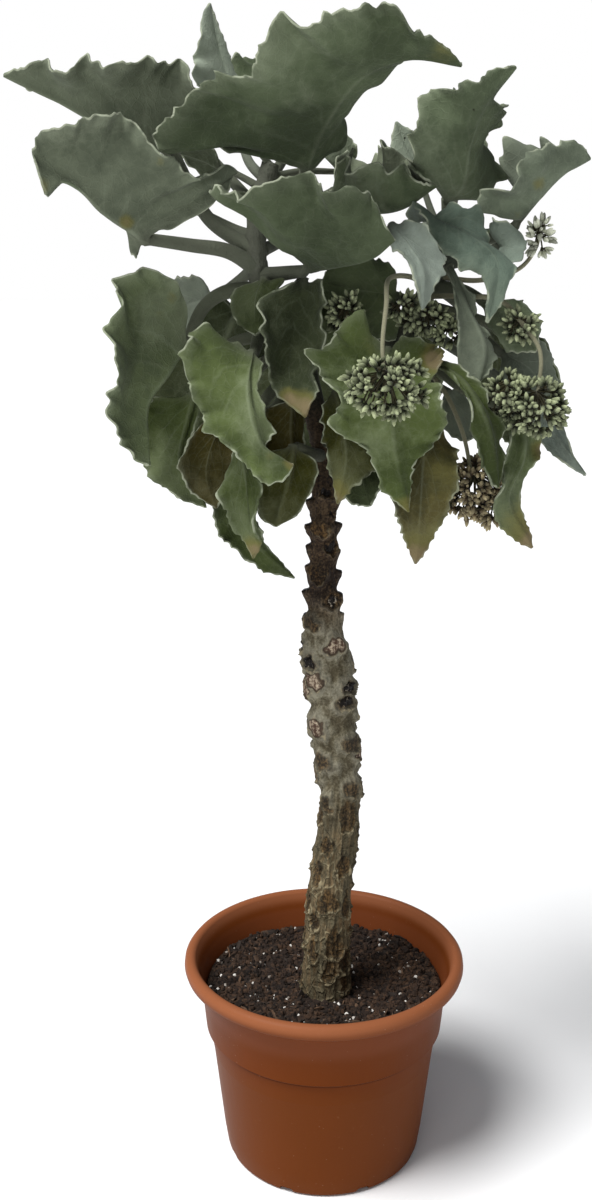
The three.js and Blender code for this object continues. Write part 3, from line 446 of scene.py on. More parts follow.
# Points on the stalk, the rib and the left and right margins, from foot to tip. Age turns a leaf
# brown from its tip. A patch has its place (x, z), its radius and how brown it is.
LEAVES = (
    leaf_row("far_left", "grey", [(-62, -17, 893), (-79, -12, 902), (-105, -4, 921)],
             [(-135, 5, 977), (-180, -8, 990), (-227, -18, 1013), (-271, -28, 1034)],
             [(-118, -15, 996), (-105, -35, 1015), (-135, -50, 1036), (-163, -58, 1043),
              (-188, -58, 1046), (-213, -50, 1042), (-254, -35, 1039)],
             [(-126, 35, 1001), (-141, 55, 1024), (-180, 50, 1038), (-224, 20, 1034)], thin=1.15,
             tone=0.44, waves=1.3),
    leaf_row("left_droop", "grey", [(-60, -18, 877), (-86, -26, 892), (-118, -36, 897)],
             [(-154, -45, 902), (-185, -70, 921), (-214, -95, 944), (-227, -100, 934)],
             [(-116, -55, 918), (-73, -62, 950), (-110, -75, 955), (-143, -95, 975),
              (-175, -108, 995), (-209, -112, 989), (-231, -112, 972), (-230, -106, 949)],
             [(-159, -38, 888), (-164, -36, 880), (-170, -38, 908), (-192, -44, 937),
              (-213, -72, 960)], thin=1.2, tone=0.58, teeth=0.7, waves=1.25,
             patches=((-168, 915, 7, 0.9), (-230, 940, 9, 0.5), (-136, 961, 7, 0.4))),
    leaf_row("top_front", "grey", [(-54, -12, 928), (-35, -20, 940)],
             [(-20, -30, 955), (-2, -62, 993), (25, -92, 1024), (60, -100, 1035),
              (101, -102, 1030)],
             [(-54, -50, 969), (-102, -66, 974), (-144, -86, 979), (-110, -108, 1004),
              (-67, -125, 1024), (-55, -140, 1049), (-35, -147, 1059), (-7, -150, 1056),
              (35, -145, 1059), (83, -118, 1044)],
             [(-9, -16, 967), (13, -16, 1009), (29, -48, 1031), (66, -85, 1045)], tone=-0.31,
             patches=((86, 1040, 20, 0.45),)),
    leaf_row("top_spike", "pale", [(-52, -9, 950), (-70, 18, 970)],
             [(-80, 55, 1014), (-91, 62, 1047), (-99, 62, 1077), (-104, 58, 1105)],
             [(-110, 60, 1029), (-121, 55, 1047), (-116, 52, 1069), (-110, 54, 1095)],
             [(-62, 70, 1026), (-80, 66, 1042), (-88, 62, 1065), (-97, 60, 1088)], thin=0.8,
             tone=3.3),
    leaf_row("front_fan", "grey", [(-58, -18, 871), (-37, -32, 874)],
             [(-18, -50, 876), (10, -78, 879), (33, -100, 885), (50, -112, 900)],
             [(-37, -66, 897), (-69, -88, 926), (-99, -100, 932), (-86, -112, 940),
              (-54, -128, 945), (-20, -136, 940), (10, -132, 941), (35, -122, 920)],
             [(-9, -30, 892), (9, -48, 911), (28, -75, 915), (43, -98, 908)], thin=1.2, tone=-0.61),
    leaf_row("right_tall", "grey", [(106, 3, 920), (105, 4, 926)],
             [(103, 4, 933), (115, -12, 948), (118, -28, 978), (128, -38, 1008), (152, -44, 1038)],
             [(86, -12, 942), (65, -40, 984), (77, -50, 1002), (95, -56, 1018), (121, -54, 1028),
              (137, -48, 1038)],
             [(137, 26, 951), (150, 34, 974), (143, 26, 985), (154, 8, 1009), (137, -18, 1018)],
             tone=0.28, teeth=1.1, waves=1.4),
    leaf_row("far_right", "grey", [(105, 2, 904), (132, 0, 902), (153, -5, 907)],
             [(166, -8, 917), (185, -12, 939), (204, -10, 958), (226, 0, 970)],
             [(143, -24, 918), (124, -32, 929), (134, -42, 946), (149, -44, 949), (166, -44, 968),
              (194, -30, 975), (214, -12, 981)],
             [(161, 45, 947), (165, 62, 968), (177, 62, 982), (204, 40, 985)], tone=1.2, waves=1.3,
             age=0.1, patches=((178, 947, 8, 0.5), (161, 922, 6, 0.4))),
    leaf_row("middle_boat", "grey", [(-56, -14, 915), (-25, -2, 931)],
             [(2, 8, 941), (30, -16, 925), (60, -38, 926), (88, -54, 944)],
             [(1, -20, 963), (19, -42, 967), (43, -56, 958), (70, -60, 953)],
             [(13, 34, 980), (41, 30, 983), (56, -14, 974), (73, -50, 957)], tone=0.03, waves=1.8),
    leaf_row("young_a", "pale", [(-52, -8, 953), (-25, 12, 960)],
             [(10, 40, 962), (11, 46, 981), (6, 50, 1003)],
             [(-1, 44, 974), (-1, 46, 991)],
             [(26, 52, 973), (22, 50, 988)], thin=0.6, tone=-0.72, teeth=0.6, waves=1.6),
    leaf_row("young_b", "grey", [(104, 2, 900), (93, 20, 925)],
             [(81, 38, 962), (69, 44, 984), (61, 46, 1005)],
             [(66, 36, 968), (59, 40, 987)],
             [(91, 50, 976), (76, 48, 995)], thin=0.6, tone=2.5, teeth=0.6, waves=1.6),
    leaf_row("young_c", "grey", [(-53, -10, 942), (-73, 6, 954)],
             [(-93, 20, 965), (-107, 26, 971), (-132, 30, 979)],
             [(-99, 10, 978), (-117, 14, 978)],
             [(-100, 40, 957), (-121, 44, 964)], thin=0.6, tone=-0.26, teeth=0.6, waves=1.6),
    leaf_row("shoot_left", "pale", [(-50, -9, 963), (-55, -14, 969)],
             [(-60, -16, 974), (-65, -14, 985), (-67, -4, 1002)],
             [(-69, -20, 978), (-73, -14, 990)],
             [(-52, -12, 979), (-57, -4, 993)], thin=0.5),
    leaf_row("front_claw", "bluish", [(101, 0, 889), (73, -32, 900)],
             [(52, -62, 910), (63, -92, 894), (73, -106, 875), (74, -104, 845)],
             [(46, -76, 900), (52, -92, 893), (64, -104, 878), (69, -106, 861)],
             [(67, -72, 915), (82, -90, 903), (93, -98, 887), (87, -104, 867), (80, -104, 853)],
             tone=2.2, waves=1.5),
    leaf_row("right_saddle", "bluish", [(104, 2, 909), (96, -16, 913)],
             [(86, -30, 916), (109, -66, 907), (135, -88, 883), (129, -92, 834)],
             [(80, -20, 925), (104, -34, 927), (125, -44, 921), (134, -60, 901), (150, -78, 878),
              (142, -88, 856)],
             [(60, -34, 921), (78, -62, 909), (105, -92, 883), (124, -96, 872), (127, -96, 853)],
             tone=-0.31, waves=1.7),
    leaf_row("right_cup", "bluish", [(102, 1, 882), (130, -12, 888)],
             [(146, -30, 896), (154, -48, 893), (162, -58, 891)],
             [(140, -26, 910), (148, -30, 918), (164, -44, 903)],
             [(143, -44, 888), (148, -58, 878), (160, -62, 883)], tone=1.9, waves=1.6),
    leaf_row("left_big", "fresh", [(-58, -18, 860), (-89, -14, 858), (-108, -16, 846)],
             [(-124, -22, 815), (-139, -40, 790), (-156, -52, 764), (-156, -62, 712)],
             [(-123, -34, 843), (-136, -48, 872), (-160, -66, 876), (-175, -88, 852),
              (-180, -100, 832), (-177, -104, 809), (-182, -104, 783), (-178, -92, 752),
              (-169, -76, 723)],
             [(-133, 0, 812), (-147, -18, 789), (-159, -40, 756), (-160, -54, 730)], thin=1.2,
             tone=0.75, teeth=0.3, patches=((-133, 854, 7, 0.6), (-144, 839, 6, 0.5))),
    leaf_row("left_back", "dark", [(-59, -17, 883), (-78, 14, 868)],
             [(-102, 16, 851), (-125, 40, 845), (-165, 62, 830)],
             [(-107, 22, 863), (-117, 32, 871), (-131, 44, 871), (-151, 58, 859)],
             [(-109, 20, 836), (-132, 44, 821), (-152, 60, 817)], tone=2.5),
    leaf_row("left_under", "fresh", [(-41, -12, 822), (-86, -16, 813)],
             [(-116, -26, 776), (-124, -34, 744), (-131, -38, 712), (-108, -38, 671)],
             [(-129, -24, 769), (-160, -20, 762), (-169, -26, 730), (-159, -34, 701),
              (-135, -38, 682)],
             [(-111, -26, 765), (-118, -34, 740), (-123, -38, 717), (-113, -38, 694)], tone=-0.59,
             teeth=0.6, waves=1.4),
    leaf_row("left_brown", "brown", [(-35, -14, 812), (-65, -10, 789)],
             [(-88, -24, 756), (-100, -46, 733), (-107, -54, 703), (-98, -52, 673)],
             [(-108, -40, 749), (-124, -55, 727), (-130, -59, 712), (-122, -59, 691)],
             [(-79, -36, 740), (-81, -48, 714), (-89, -52, 689)], tone=-0.73, teeth=0.6, age=0.25),
    leaf_row("left_front", "fresh", [(-57, -18, 843), (-63, -36, 811), (-67, -58, 803)],
             [(-66, -80, 809), (-67, -104, 777), (-56, -112, 736), (-30, -108, 719)],
             [(-84, -80, 836), (-106, -84, 840), (-120, -92, 811), (-117, -98, 781),
              (-103, -102, 752), (-81, -106, 732), (-60, -112, 708), (-38, -112, 706)],
             [(-51, -90, 804), (-60, -100, 782), (-56, -102, 761), (-47, -100, 747),
              (-53, -106, 732), (-38, -106, 720)], tone=0.13, waves=1.5, age=0.05,
             patches=((-32, 722, 8, 0.8), (-50, 728, 7, 0.4))),
    leaf_row("left_folded", "fresh", [(-28, -12, 795), (-55, -30, 766)],
             [(-76, -58, 734), (-71, -76, 706), (-68, -80, 672), (-65, -76, 633)],
             [(-87, -60, 721), (-91, -72, 693), (-85, -76, 665), (-71, -78, 645)],
             [(-67, -74, 723), (-57, -88, 702), (-60, -90, 674), (-60, -84, 647)], tone=-0.56,
             teeth=1.0, waves=1.5, age=0.2, patches=((-64, 641, 10, 0.6),)),
    leaf_row("left_low", "fresh", [(-24, -10, 783), (-70, -4, 727)],
             [(-92, -10, 684), (-79, -22, 655), (-57, -28, 629), (-29, -28, 604)],
             [(-106, -14, 676), (-98, -28, 645), (-81, -30, 629), (-57, -32, 612)],
             [(-70, -10, 673), (-61, -22, 644), (-43, -28, 621)], tone=-0.49, waves=1.4, age=0.1),
    leaf_row("trunk_round", "olive", [(-4, -8, 713), (-15, -40, 721)],
             [(-31, -52, 729), (-35, -62, 700), (-46, -60, 658)],
             [(-54, -54, 723), (-63, -62, 696), (-59, -60, 667)],
             [(-13, -48, 717), (-12, -52, 695), (-26, -58, 669)], tone=-0.55, teeth=0.35, age=0.12),
    leaf_row("trunk_dark", "brown", [(-19, -8, 774), (-26, -24, 774)],
             [(-32, -28, 766), (-32, -32, 734), (-28, -34, 704)],
             [(-53, -30, 761), (-59, -32, 734), (-53, -34, 712)],
             [(-21, -28, 757), (-20, -30, 731), (-22, -32, 709)], tone=-0.29),
    leaf_row("front_small", "fresh", [(-58, -18, 861), (-55, -30, 865)],
             [(-54, -38, 868), (-62, -48, 848), (-62, -54, 822)],
             [(-71, -38, 865), (-83, -42, 855), (-79, -50, 834)],
             [(-37, -42, 870), (-47, -50, 850), (-56, -56, 829)], tone=-0.98, teeth=0.6),
    leaf_row("front_pocket", "dark", [(-46, -16, 836), (-31, -20, 858)],
             [(-21, -30, 870), (-30, -36, 835), (-33, -42, 801), (-31, -70, 776), (-20, -82, 756)],
             [(-36, -58, 868), (-50, -68, 848), (-54, -68, 824), (-54, -64, 798), (-50, -70, 781)],
             [(-1, -58, 867), (-4, -68, 847), (-10, -74, 821), (-15, -78, 795), (-13, -84, 773)],
             tone=0.1, teeth=0.6, waves=0.8,
             patches=((-20, 766, 14, 0.8), (-15, 761, 8, 0.6), (-35, 772, 9, 0.8))),
    leaf_row("front_big", "fresh", [(31, -4, 774), (41, -40, 799)],
             [(47, -84, 812), (49, -112, 774), (53, -118, 734), (66, -108, 680)],
             [(37, -80, 837), (25, -82, 844), (10, -85, 839), (2, -88, 822), (-18, -96, 814),
              (6, -110, 775), (3, -112, 751), (28, -115, 731), (45, -112, 699)],
             [(60, -78, 833), (78, -80, 828), (96, -84, 816), (86, -100, 789), (97, -108, 749),
              (71, -114, 720), (68, -110, 697)], tone=0.05, teeth=1.2, waves=1.1, age=0.12,
             patches=((85, 803, 9, 0.9), (66, 684, 12, 0.6), (37, 816, 24, 0.3),
                      (91, 816, 14, 0.45))),
    leaf_row("front_pink", "brown", [(14, -5, 747), (55, -30, 755)],
             [(82, -62, 756), (81, -80, 724), (78, -84, 677), (76, -76, 628)],
             [(64, -70, 746), (49, -84, 708), (58, -86, 669), (69, -80, 643)],
             [(100, -66, 749), (109, -76, 726), (106, -82, 686), (92, -80, 650)], tone=0.28,
             waves=1.4, age=0.5, patches=((95, 711, 24, 0.35), (76, 632, 16, 0.55))),
    leaf_row("trunk_right", "olive", [(-1, -8, 721), (3, -38, 749), (7, -46, 767)],
             [(8, -50, 778), (13, -68, 744), (15, -74, 715), (8, -70, 680)],
             [(-6, -50, 768), (-7, -62, 742), (0, -70, 710)],
             [(24, -58, 767), (37, -76, 740), (42, -82, 717), (23, -78, 697)], tone=-0.63,
             teeth=1.2, waves=1.5, age=0.25, patches=((8, 686, 12, 0.5),)),
    leaf_row("trunk_low", "fresh", [(-1, -6, 720), (21, -12, 728)],
             [(31, -22, 722), (29, -36, 701), (38, -42, 673)],
             [(17, -24, 716), (11, -36, 694), (18, -44, 676)],
             [(49, -30, 716), (55, -38, 700), (46, -44, 686)], tone=0.5),
    leaf_row("right_strap", "grey", [(97, 0, 878), (100, -22, 877)],
             [(102, -44, 878), (113, -70, 848), (128, -82, 816), (124, -86, 785)],
             [(105, -60, 859), (107, -78, 827), (105, -82, 808), (114, -86, 793)],
             [(118, -64, 851), (129, -74, 830), (141, -76, 815), (136, -82, 797)], tone=1.18,
             waves=1.4),
    leaf_row("right_curve", "fresh", [(52, -2, 806), (72, -40, 808)],
             [(90, -70, 801), (113, -102, 782), (130, -106, 753), (142, -94, 698)],
             [(101, -94, 792), (114, -108, 773), (121, -108, 740), (133, -98, 706)],
             [(106, -92, 801), (125, -102, 778), (147, -98, 751), (146, -92, 720)], tone=-0.63,
             waves=1.5),
    leaf_row("right_inner", "fresh", [(90, 0, 863), (117, -16, 860)],
             [(132, -34, 852), (152, -52, 834), (176, -60, 809)],
             [(144, -38, 852), (164, -48, 852), (180, -56, 834)],
             [(134, -50, 837), (145, -62, 819), (161, -66, 809)], tone=1.39),
    leaf_row("right_shade", "dark", [(75, 0, 839), (124, -20, 826)],
             [(150, -32, 807), (175, -40, 794), (201, -36, 756)],
             [(160, -30, 816), (175, -32, 823), (193, -34, 809), (200, -36, 780)],
             [(147, -42, 789), (155, -50, 769), (181, -46, 757)], tone=2.2, teeth=0.7),
    leaf_row("right_outer", "dark", [(81, 0, 847), (138, 20, 833)],
             [(175, 20, 820), (200, 8, 794), (213, 0, 756)],
             [(182, 16, 824), (200, 6, 811), (211, -2, 770)],
             [(175, 34, 805), (187, 24, 775), (202, 10, 755)]),
    leaf_row("right_tip", "bluish", [(73, 0, 834), (148, 12, 787)],
             [(193, 2, 754), (209, -6, 729), (235, -12, 696)],
             [(185, 4, 740), (202, -6, 717), (218, -10, 705)],
             [(208, 2, 752), (218, -6, 729), (224, -10, 712)], tone=-0.52, teeth=0.5, age=0.1),
    leaf_row("right_low", "fresh", [(66, 0, 825), (117, -24, 777)],
             [(169, -44, 754), (167, -66, 722), (155, -74, 684), (179, -66, 640)],
             [(156, -54, 747), (152, -68, 722), (144, -78, 694), (147, -74, 662), (164, -68, 648)],
             [(185, -50, 742), (184, -62, 722), (168, -72, 698), (167, -72, 677), (178, -66, 653)],
             tone=0.4, waves=1.4, age=0.4,
             patches=((183, 725, 8, 0.7), (173, 667, 22, 0.35), (177, 643, 12, 0.6))),
    leaf_row("right_dark", "dark", [(40, 0, 788), (76, -4, 785)],
             [(107, -6, 771), (115, -12, 752), (129, -12, 728)],
             [(101, -12, 762), (104, -18, 742), (117, -16, 728)],
             [(117, -4, 778), (132, -8, 755), (136, -10, 735)], tone=2.2),
    leaf_row("back_top", "grey", [(-53, -10, 938), (-53, 22, 949)],
             [(-35, 62, 981), (-39, 120, 1021), (-51, 178, 1078)],
             [(-70, 76, 999), (-96, 118, 1033), (-82, 158, 1071)],
             [(-6, 76, 999), (-4, 118, 1035), (-24, 160, 1080)]),
    leaf_row("back_right_top", "grey", [(105, 2, 913), (109, 26, 923)],
             [(117, 58, 946), (126, 104, 984), (140, 148, 1028)],
             [(94, 76, 961), (93, 112, 999), (113, 138, 1032)],
             [(143, 72, 959), (152, 110, 994), (152, 138, 1023)]),
    leaf_row("back_left_top", "grey", [(-57, -13, 923), (-79, 26, 947)],
             [(-110, 62, 981), (-165, 110, 1015), (-230, 148, 1046)],
             [(-114, 80, 1017), (-163, 116, 1049), (-208, 138, 1061)],
             [(-143, 92, 978), (-188, 124, 998), (-224, 146, 1030)]),
    leaf_row("back_left_mid", "grey", [(-60, -15, 903), (-82, 22, 911)],
             [(-112, 54, 926), (-165, 112, 952), (-219, 164, 976)],
             [(-124, 74, 955), (-175, 120, 978), (-211, 152, 992)],
             [(-138, 84, 926), (-178, 126, 938), (-217, 160, 961)]),
    leaf_row("back_mid", "grey", [(-59, -14, 893), (-46, 22, 899)],
             [(-32, 56, 907), (-16, 118, 916), (2, 178, 931)],
             [(-59, 70, 925), (-47, 124, 942), (-12, 166, 954)],
             [(-8, 66, 888), (17, 124, 896), (26, 168, 918)]),
    leaf_row("back_right_mid", "grey", [(103, 2, 893), (107, 28, 898)],
             [(114, 48, 905), (135, 112, 908), (159, 172, 916)],
             [(87, 70, 904), (93, 116, 907), (127, 160, 917)],
             [(157, 66, 904), (179, 110, 905), (179, 158, 913)]),
    leaf_row("back_left_low", "dark", [(-46, -14, 836), (-62, 24, 835)],
             [(-80, 58, 842), (-116, 108, 770), (-135, 126, 689)],
             [(-111, 76, 860), (-162, 100, 798), (-177, 120, 751), (-165, 128, 713)],
             [(-45, 84, 816), (-62, 116, 750), (-103, 128, 702)], tone=-0.3),
    leaf_row("back_centre_low", "dark", [(-5, -8, 746), (-13, 26, 786)],
             [(-17, 58, 806), (-16, 106, 751), (-22, 118, 678)],
             [(-53, 74, 801), (-71, 106, 757), (-60, 118, 708)],
             [(12, 76, 797), (17, 108, 743), (1, 118, 696)], tone=-0.25),
    leaf_row("back_right_low", "dark", [(63, 0, 820), (65, 26, 822)],
             [(67, 56, 824), (76, 106, 761), (81, 114, 676)],
             [(39, 78, 812), (41, 108, 751), (60, 114, 702)],
             [(103, 78, 816), (110, 108, 753), (102, 114, 702)]),
    leaf_row("back_far_low", "dark", [(92, 0, 866), (116, 28, 850)],
             [(146, 58, 826), (182, 96, 773), (194, 102, 704)],
             [(135, 72, 809), (152, 98, 752), (174, 104, 716)],
             [(185, 76, 822), (216, 90, 775), (214, 98, 724)], tone=-0.3),
    leaf_row("centre_shade", "fresh", [(77, 0, 841), (69, -10, 849)],
             [(61, -18, 855), (32, -28, 860), (-6, -32, 867)],
             [(67, -22, 819), (33, -24, 816), (-5, -26, 812)],
             [(58, -24, 877), (32, -36, 888), (4, -38, 885)], tone=0.7),
)

# Points on the stalk, and the centre, half sizes and number of buds of each head
BUD_CLUSTERS = (
    cluster_row("front", "fresh", [(89, 0, 861), (69, -45, 871), (48, -84, 869), (44, -118, 849),
                 (40, -142, 816)],
                ((43, -152, 788), (35, 25, 26), 42)),
    cluster_row("middle", "fresh", [(77, 0, 841), (84, -30, 846)],
                ((82, -54, 837), (22, 10, 11), 20),
                ((61, -58, 847), (13, 7, 8), 9),
                ((100, -54, 824), (12, 7, 8), 9)),
    cluster_row("centre", "fresh", [(24, -4, 765), (19, -26, 798)],
                ((14, -55, 840), (12, 9, 17), 14)),
    cluster_row("right", "fresh", [(86, 0, 854), (118, -52, 855), (143, -66, 852), (162, -78, 831),
                 (174, -88, 811)],
                ((171, -98, 767), (28, 22, 26), 36),
                ((147, -92, 775), (18, 14, 22), 16),
                ((160, -76, 831), (13, 7, 11), 11)),
    cluster_row("dry", "brown", [(56, 0, 809), (95, -26, 783), (117, -44, 741)],
                ((128, -50, 691), (30, 20, 29), 42),
                ((145, -46, 673), (18, 13, 15), 16)),
    cluster_row("far_right", "pale", [(96, 0, 871), (133, -12, 868), (166, -18, 878),
                 (180, -14, 895)],
                ((182, -15, 904), (7, 5, 15), 8)),
)


# Pot

POT_SIDES = 180
SEAM = 0.00002
SHARP_ANGLE = math.radians(38)
FLOOR = 0.005
SLOT_SIZE = (0.016, 0.0138, 0.012)
SLOT_INSET = 0.004
SLOT_ROUNDING = 0.003
DUSTY_FROM = (0.16, 0.175)


def pot_profile(sizes):
    """Radius and height along the wall, from the underside over the rim to the inner floor."""
    top, rim, neck, base = sizes.height, sizes.rim_radius, sizes.neck_radius, sizes.base_radius
    step, neck_top = sizes.step_height, sizes.height - sizes.rim_height
    inner_neck, inner_base = neck - sizes.wall, base - sizes.wall
    outside = [(0, 0), (base - 0.012, 0), (base - 0.004, 0.0006), (base - 0.001, 0.0025),
               (base, 0.006), (base + 0.003, 0.026), (neck - 0.0102, step - 0.004),
               (neck - 0.0092, step - 0.001), (neck - 0.0066, step + 0.0006),
               (neck - 0.005, step + 0.002), (neck, neck_top - 0.008),
               (neck + 0.002, neck_top - 0.005)]
    lip = [(rim - 0.009, neck_top - 0.003), (rim - 0.004, neck_top - 0.0022),
           (rim - 0.0012, neck_top), (rim, neck_top + 0.004), (rim - 0.0006, top - 0.004),
           (rim - 0.0028, top - 0.0012), (rim - 0.006, top), (rim - 0.009, top - 0.0006),
           (rim - 0.0115, top - 0.003), (neck + 0.001, neck_top - 0.004)]
    inside = [(inner_neck + 0.001, neck_top - 0.008), (inner_neck - 0.005, step),
              (inner_base + 0.002, 0.026), (inner_base - 0.002, FLOOR), (0, FLOOR)]
    return outside + lip + inside


class FELT_OT_pot(bpy.types.Operator):
    """Turn the pot from its outline and cut the slots along its heel"""
    bl_idname = "felt.pot"
    bl_label = "Pot"

    def execute(self, context):
        sizes = context.scene.felt_pot
        outline = [(radius, 0, z) for radius, z in pot_profile(sizes)]
        mesh = bpy.data.meshes.new("pot_outer")
        mesh.from_pydata(outline, [(i, i + 1) for i in range(len(outline) - 1)], [])
        pot = bpy.data.objects.new("pot_turned", mesh)
        context.collection.objects.link(pot)
        lone(pot)
        bpy.ops.object.mode_set(mode="EDIT")
        bpy.ops.mesh.select_all(action="SELECT")
        bpy.ops.mesh.spin(steps=POT_SIDES, angle=2 * math.pi, center=(0, 0, 0), axis=(0, 0, 1))
        bpy.ops.mesh.select_all(action="SELECT")
        bpy.ops.mesh.remove_doubles(threshold=SEAM)
        bpy.ops.mesh.normals_make_consistent(inside=False)
        bpy.ops.object.mode_set(mode="OBJECT")
        cutters = self.cutters(sizes)
        apply_modifier(pot, "BOOLEAN", operation="DIFFERENCE", solver="EXACT", object=cutters)
        bpy.data.objects.remove(cutters)
        lone(pot)
        bpy.ops.object.shade_smooth_by_angle(angle=SHARP_ANGLE)
        place_in(pot, "pot", pot_material(sizes))
        return {"FINISHED"}

    def cutters(self, sizes):
        """The bodies of all the slots, as one object."""
        reach = sizes.base_radius - SLOT_INSET
        made = []
        for angle in circle(sizes.slots) + math.pi / sizes.slots:
            where = (reach * math.cos(angle), reach * math.sin(angle), 0)
            bpy.ops.mesh.primitive_cube_add(size=1, location=where, rotation=(0, 0, angle))
            cutter = bpy.context.object
            cutter.scale = SLOT_SIZE
            bpy.ops.object.transform_apply(location=True, rotation=True, scale=True)
            apply_modifier(cutter, "BEVEL", width=SLOT_ROUNDING, segments=3)
            made.append(cutter)
        lone(made[0])
        for cutter in made:
            cutter.select_set(True)
        bpy.ops.object.join()
        return made[0]


def pot_material(sizes):
    """Brown moulded plastic, lighter at the rim as a painted highlight, with a dark line of painted
    shade under the step, soil dust, scuffs and faint turning marks.
    """
    m = Nodes("pot plastic")
    x, y, z = m.axes(m.here)
    radius = (x * x + y * y) ** 0.5
    cloud = m.noise(9, 3)
    streak = m.noise(60, 3, where=m.stretched((1, 1, 0.12)))
    scuff = m.noise(170, 3, 0.7).rise(0.62, 0.78) * cloud.rise(0.4, 0.7)
    specks = m.cells(240).rise(0.12, 0.05) * m.cells(240, output="Color").rise(0.72, 0.8)
    # Painted highlight: the rolled rim is lightened where it catches the light from above.
    rim = z.rise(sizes.height - 0.016, sizes.height - 0.004)
    below = z.rise(sizes.step_height + 0.004, sizes.step_height - 0.03)
    # Painted shade: a dark line just under the slight step, where the wall above overhangs it.
    step_shade = abs(z - sizes.step_height + 0.001).rise(0.0022, 0.0006)
    inner = radius.rise(sizes.neck_radius + 0.004, sizes.neck_radius - 0.002) * z.rise(*DUSTY_FROM)
    shown = m.layers(m.shade((*sizes.plastic, 1), 0.82 + cloud * 0.22 + streak * 0.12),
                     ("955b3c", rim * 0.85), ("66350d", below * 0.4), ("3c1a08", step_shade * 0.6),
                     ("b5805f", scuff * 0.18), ("cbb09a", specks * 0.3), ("7a4630", inner * 0.35))
    height = streak * 0.5 + m.noise(420, 2) * 0.3
    return m.finish(shown, 0.42 + scuff * 0.2 + streak * 0.1, height, 0.0003,
                    Specular_IOR_Level=0.06)


# Soil

SOIL_SEED = 7
SOIL_RINGS, SOIL_SIDES = 74, 220
SOIL_DEPTH = 0.045
WALL_GAP = 0.0008
STEM_FOOT = (0.002, -0.02)
STEM_CLEARANCE = 0.026
# Corners and faces of a round grain with twenty sides
GRAIN = np.array([[0, 0, 1], [0.894, 0, 0.447], [0.276, 0.851, 0.447], [-0.724, 0.526, 0.447],
                  [-0.724, -0.526, 0.447], [0.276, -0.851, 0.447], [0.724, 0.526, -0.447],
                  [-0.276, 0.851, -0.447], [-0.894, 0, -0.447], [-0.276, -0.851, -0.447],
                  [0.724, -0.526, -0.447], [0, 0, -1]])
GRAIN_FACES = [(0, 1, 2), (0, 2, 3), (0, 3, 4), (0, 4, 5), (0, 5, 1), (1, 6, 2), (2, 7, 3),
               (3, 8, 4), (4, 9, 5), (5, 10, 1), (2, 6, 7), (3, 7, 8), (4, 8, 9), (5, 9, 10),
               (1, 10, 6), (11, 7, 6), (11, 8, 7), (11, 9, 8), (11, 10, 9), (11, 6, 10)]


def soil_height(x, y):
    """Height of the mix over its level: soft heaps and hollows."""
    heaps = np.sin(31 * x + 2) * np.cos(27 * y + 1) + 0.6 * np.sin(71 * x - 53 * y)
    lumps = np.sin(190 * x + 3 * np.sin(120 * y)) * np.sin(173 * y + 2 * np.cos(140 * x))
    return 0.0016 * heaps + 0.0009 * lumps


def turned_about(rng, points):
    """Points turned to a random side."""
    a, b, c = rng.uniform(0, 2 * math.pi, 3)
    turn_z = np.array([[math.cos(a), -math.sin(a), 0], [math.sin(a), math.cos(a), 0], [0, 0, 1]])
    turn_x = np.array([[1, 0, 0], [0, math.cos(b), -math.sin(b)], [0, math.sin(b), math.cos(b)]])
    turn_y = np.array([[math.cos(c), 0, math.sin(c)], [0, 1, 0], [-math.sin(c), 0, math.cos(c)]])
    return points @ (turn_z @ turn_x @ turn_y).T


class FELT_OT_soil(bpy.types.Operator):
    """Lay the potting mix: its uneven body and the crumbs, bark chips and pale grit on top"""
    bl_idname = "felt.soil"
    bl_label = "Soil"

    def execute(self, context):
        sizes = context.scene.felt_soil
        rng = np.random.default_rng(SOIL_SEED)
        self.reach = SOIL_HIGH.x - WALL_GAP
        self.body(sizes)
        kinds = (
            ("soil_crumbs", sizes.crumbs, 1, (1, 1, 0.75), crumb_material(sizes)),
            ("soil_chips", sizes.chips, 1.5, (1.3, 0.55, 0.22), chip_material()),
            ("soil_grit", sizes.grit, 0.62, (1, 0.9, 0.8), grit_material()),
        )
        for name, count, larger, form, material in kinds:
            shape = Shape()
            for _ in range(count):
                self.grain(shape, rng, sizes.crumb * larger, form)
            grains = shape.object(name, smooth=False)
            grains.data.materials.append(material)
            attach(grains, "root")
        return {"FINISHED"}

    def body(self, sizes):
        """The body of the mix, with a top of many small heights that sinks to the wall."""
        radii = np.linspace(self.reach, self.reach / SOIL_RINGS, SOIL_RINGS)
        angle = circle(SOIL_SIDES)
        x = radii[:, None] * np.cos(angle)
        y = radii[:, None] * np.sin(angle)
        edge = 0.002 * eased(radii, self.reach, self.reach - 0.02)[:, None] - 0.003
        top = np.stack([x, y, SOIL_TOP + soil_height(x, y) + edge], axis=-1)
        bottom = SOIL_TOP - SOIL_DEPTH
        low = np.stack([0.92 * x[:1], 0.92 * y[:1], np.full_like(x[:1], bottom)], axis=-1)
        shape = Shape()
        shape.add(*skin(np.concatenate([low, top]), [0, 0, bottom], [0, 0, SOIL_TOP - 0.002]))
        place_in(shape.object("soil_body"), "soil", crumb_material(sizes))

    def grain(self, shape, rng, size, form):
        """One grain on the soil, clear of the stem."""
        radius = (self.reach - 0.003) * math.sqrt(rng.uniform(0.02, 1))
        angle = rng.uniform(0, 2 * math.pi)
        x, y = radius * math.cos(angle), radius * math.sin(angle)
        if math.dist((x, y), STEM_FOOT) < STEM_CLEARANCE:
            return
        scale = size * rng.uniform(0.45, 1.5) ** 1.3
        points = GRAIN * rng.uniform(0.7, 1.15, (len(GRAIN), 1)) * form * scale
        points = turned_about(rng, points)
        z = SOIL_TOP - 0.0012 + soil_height(x, y) + scale * rng.uniform(-0.1, 0.35)
        shape.add(points + [x, y, z], GRAIN_FACES)


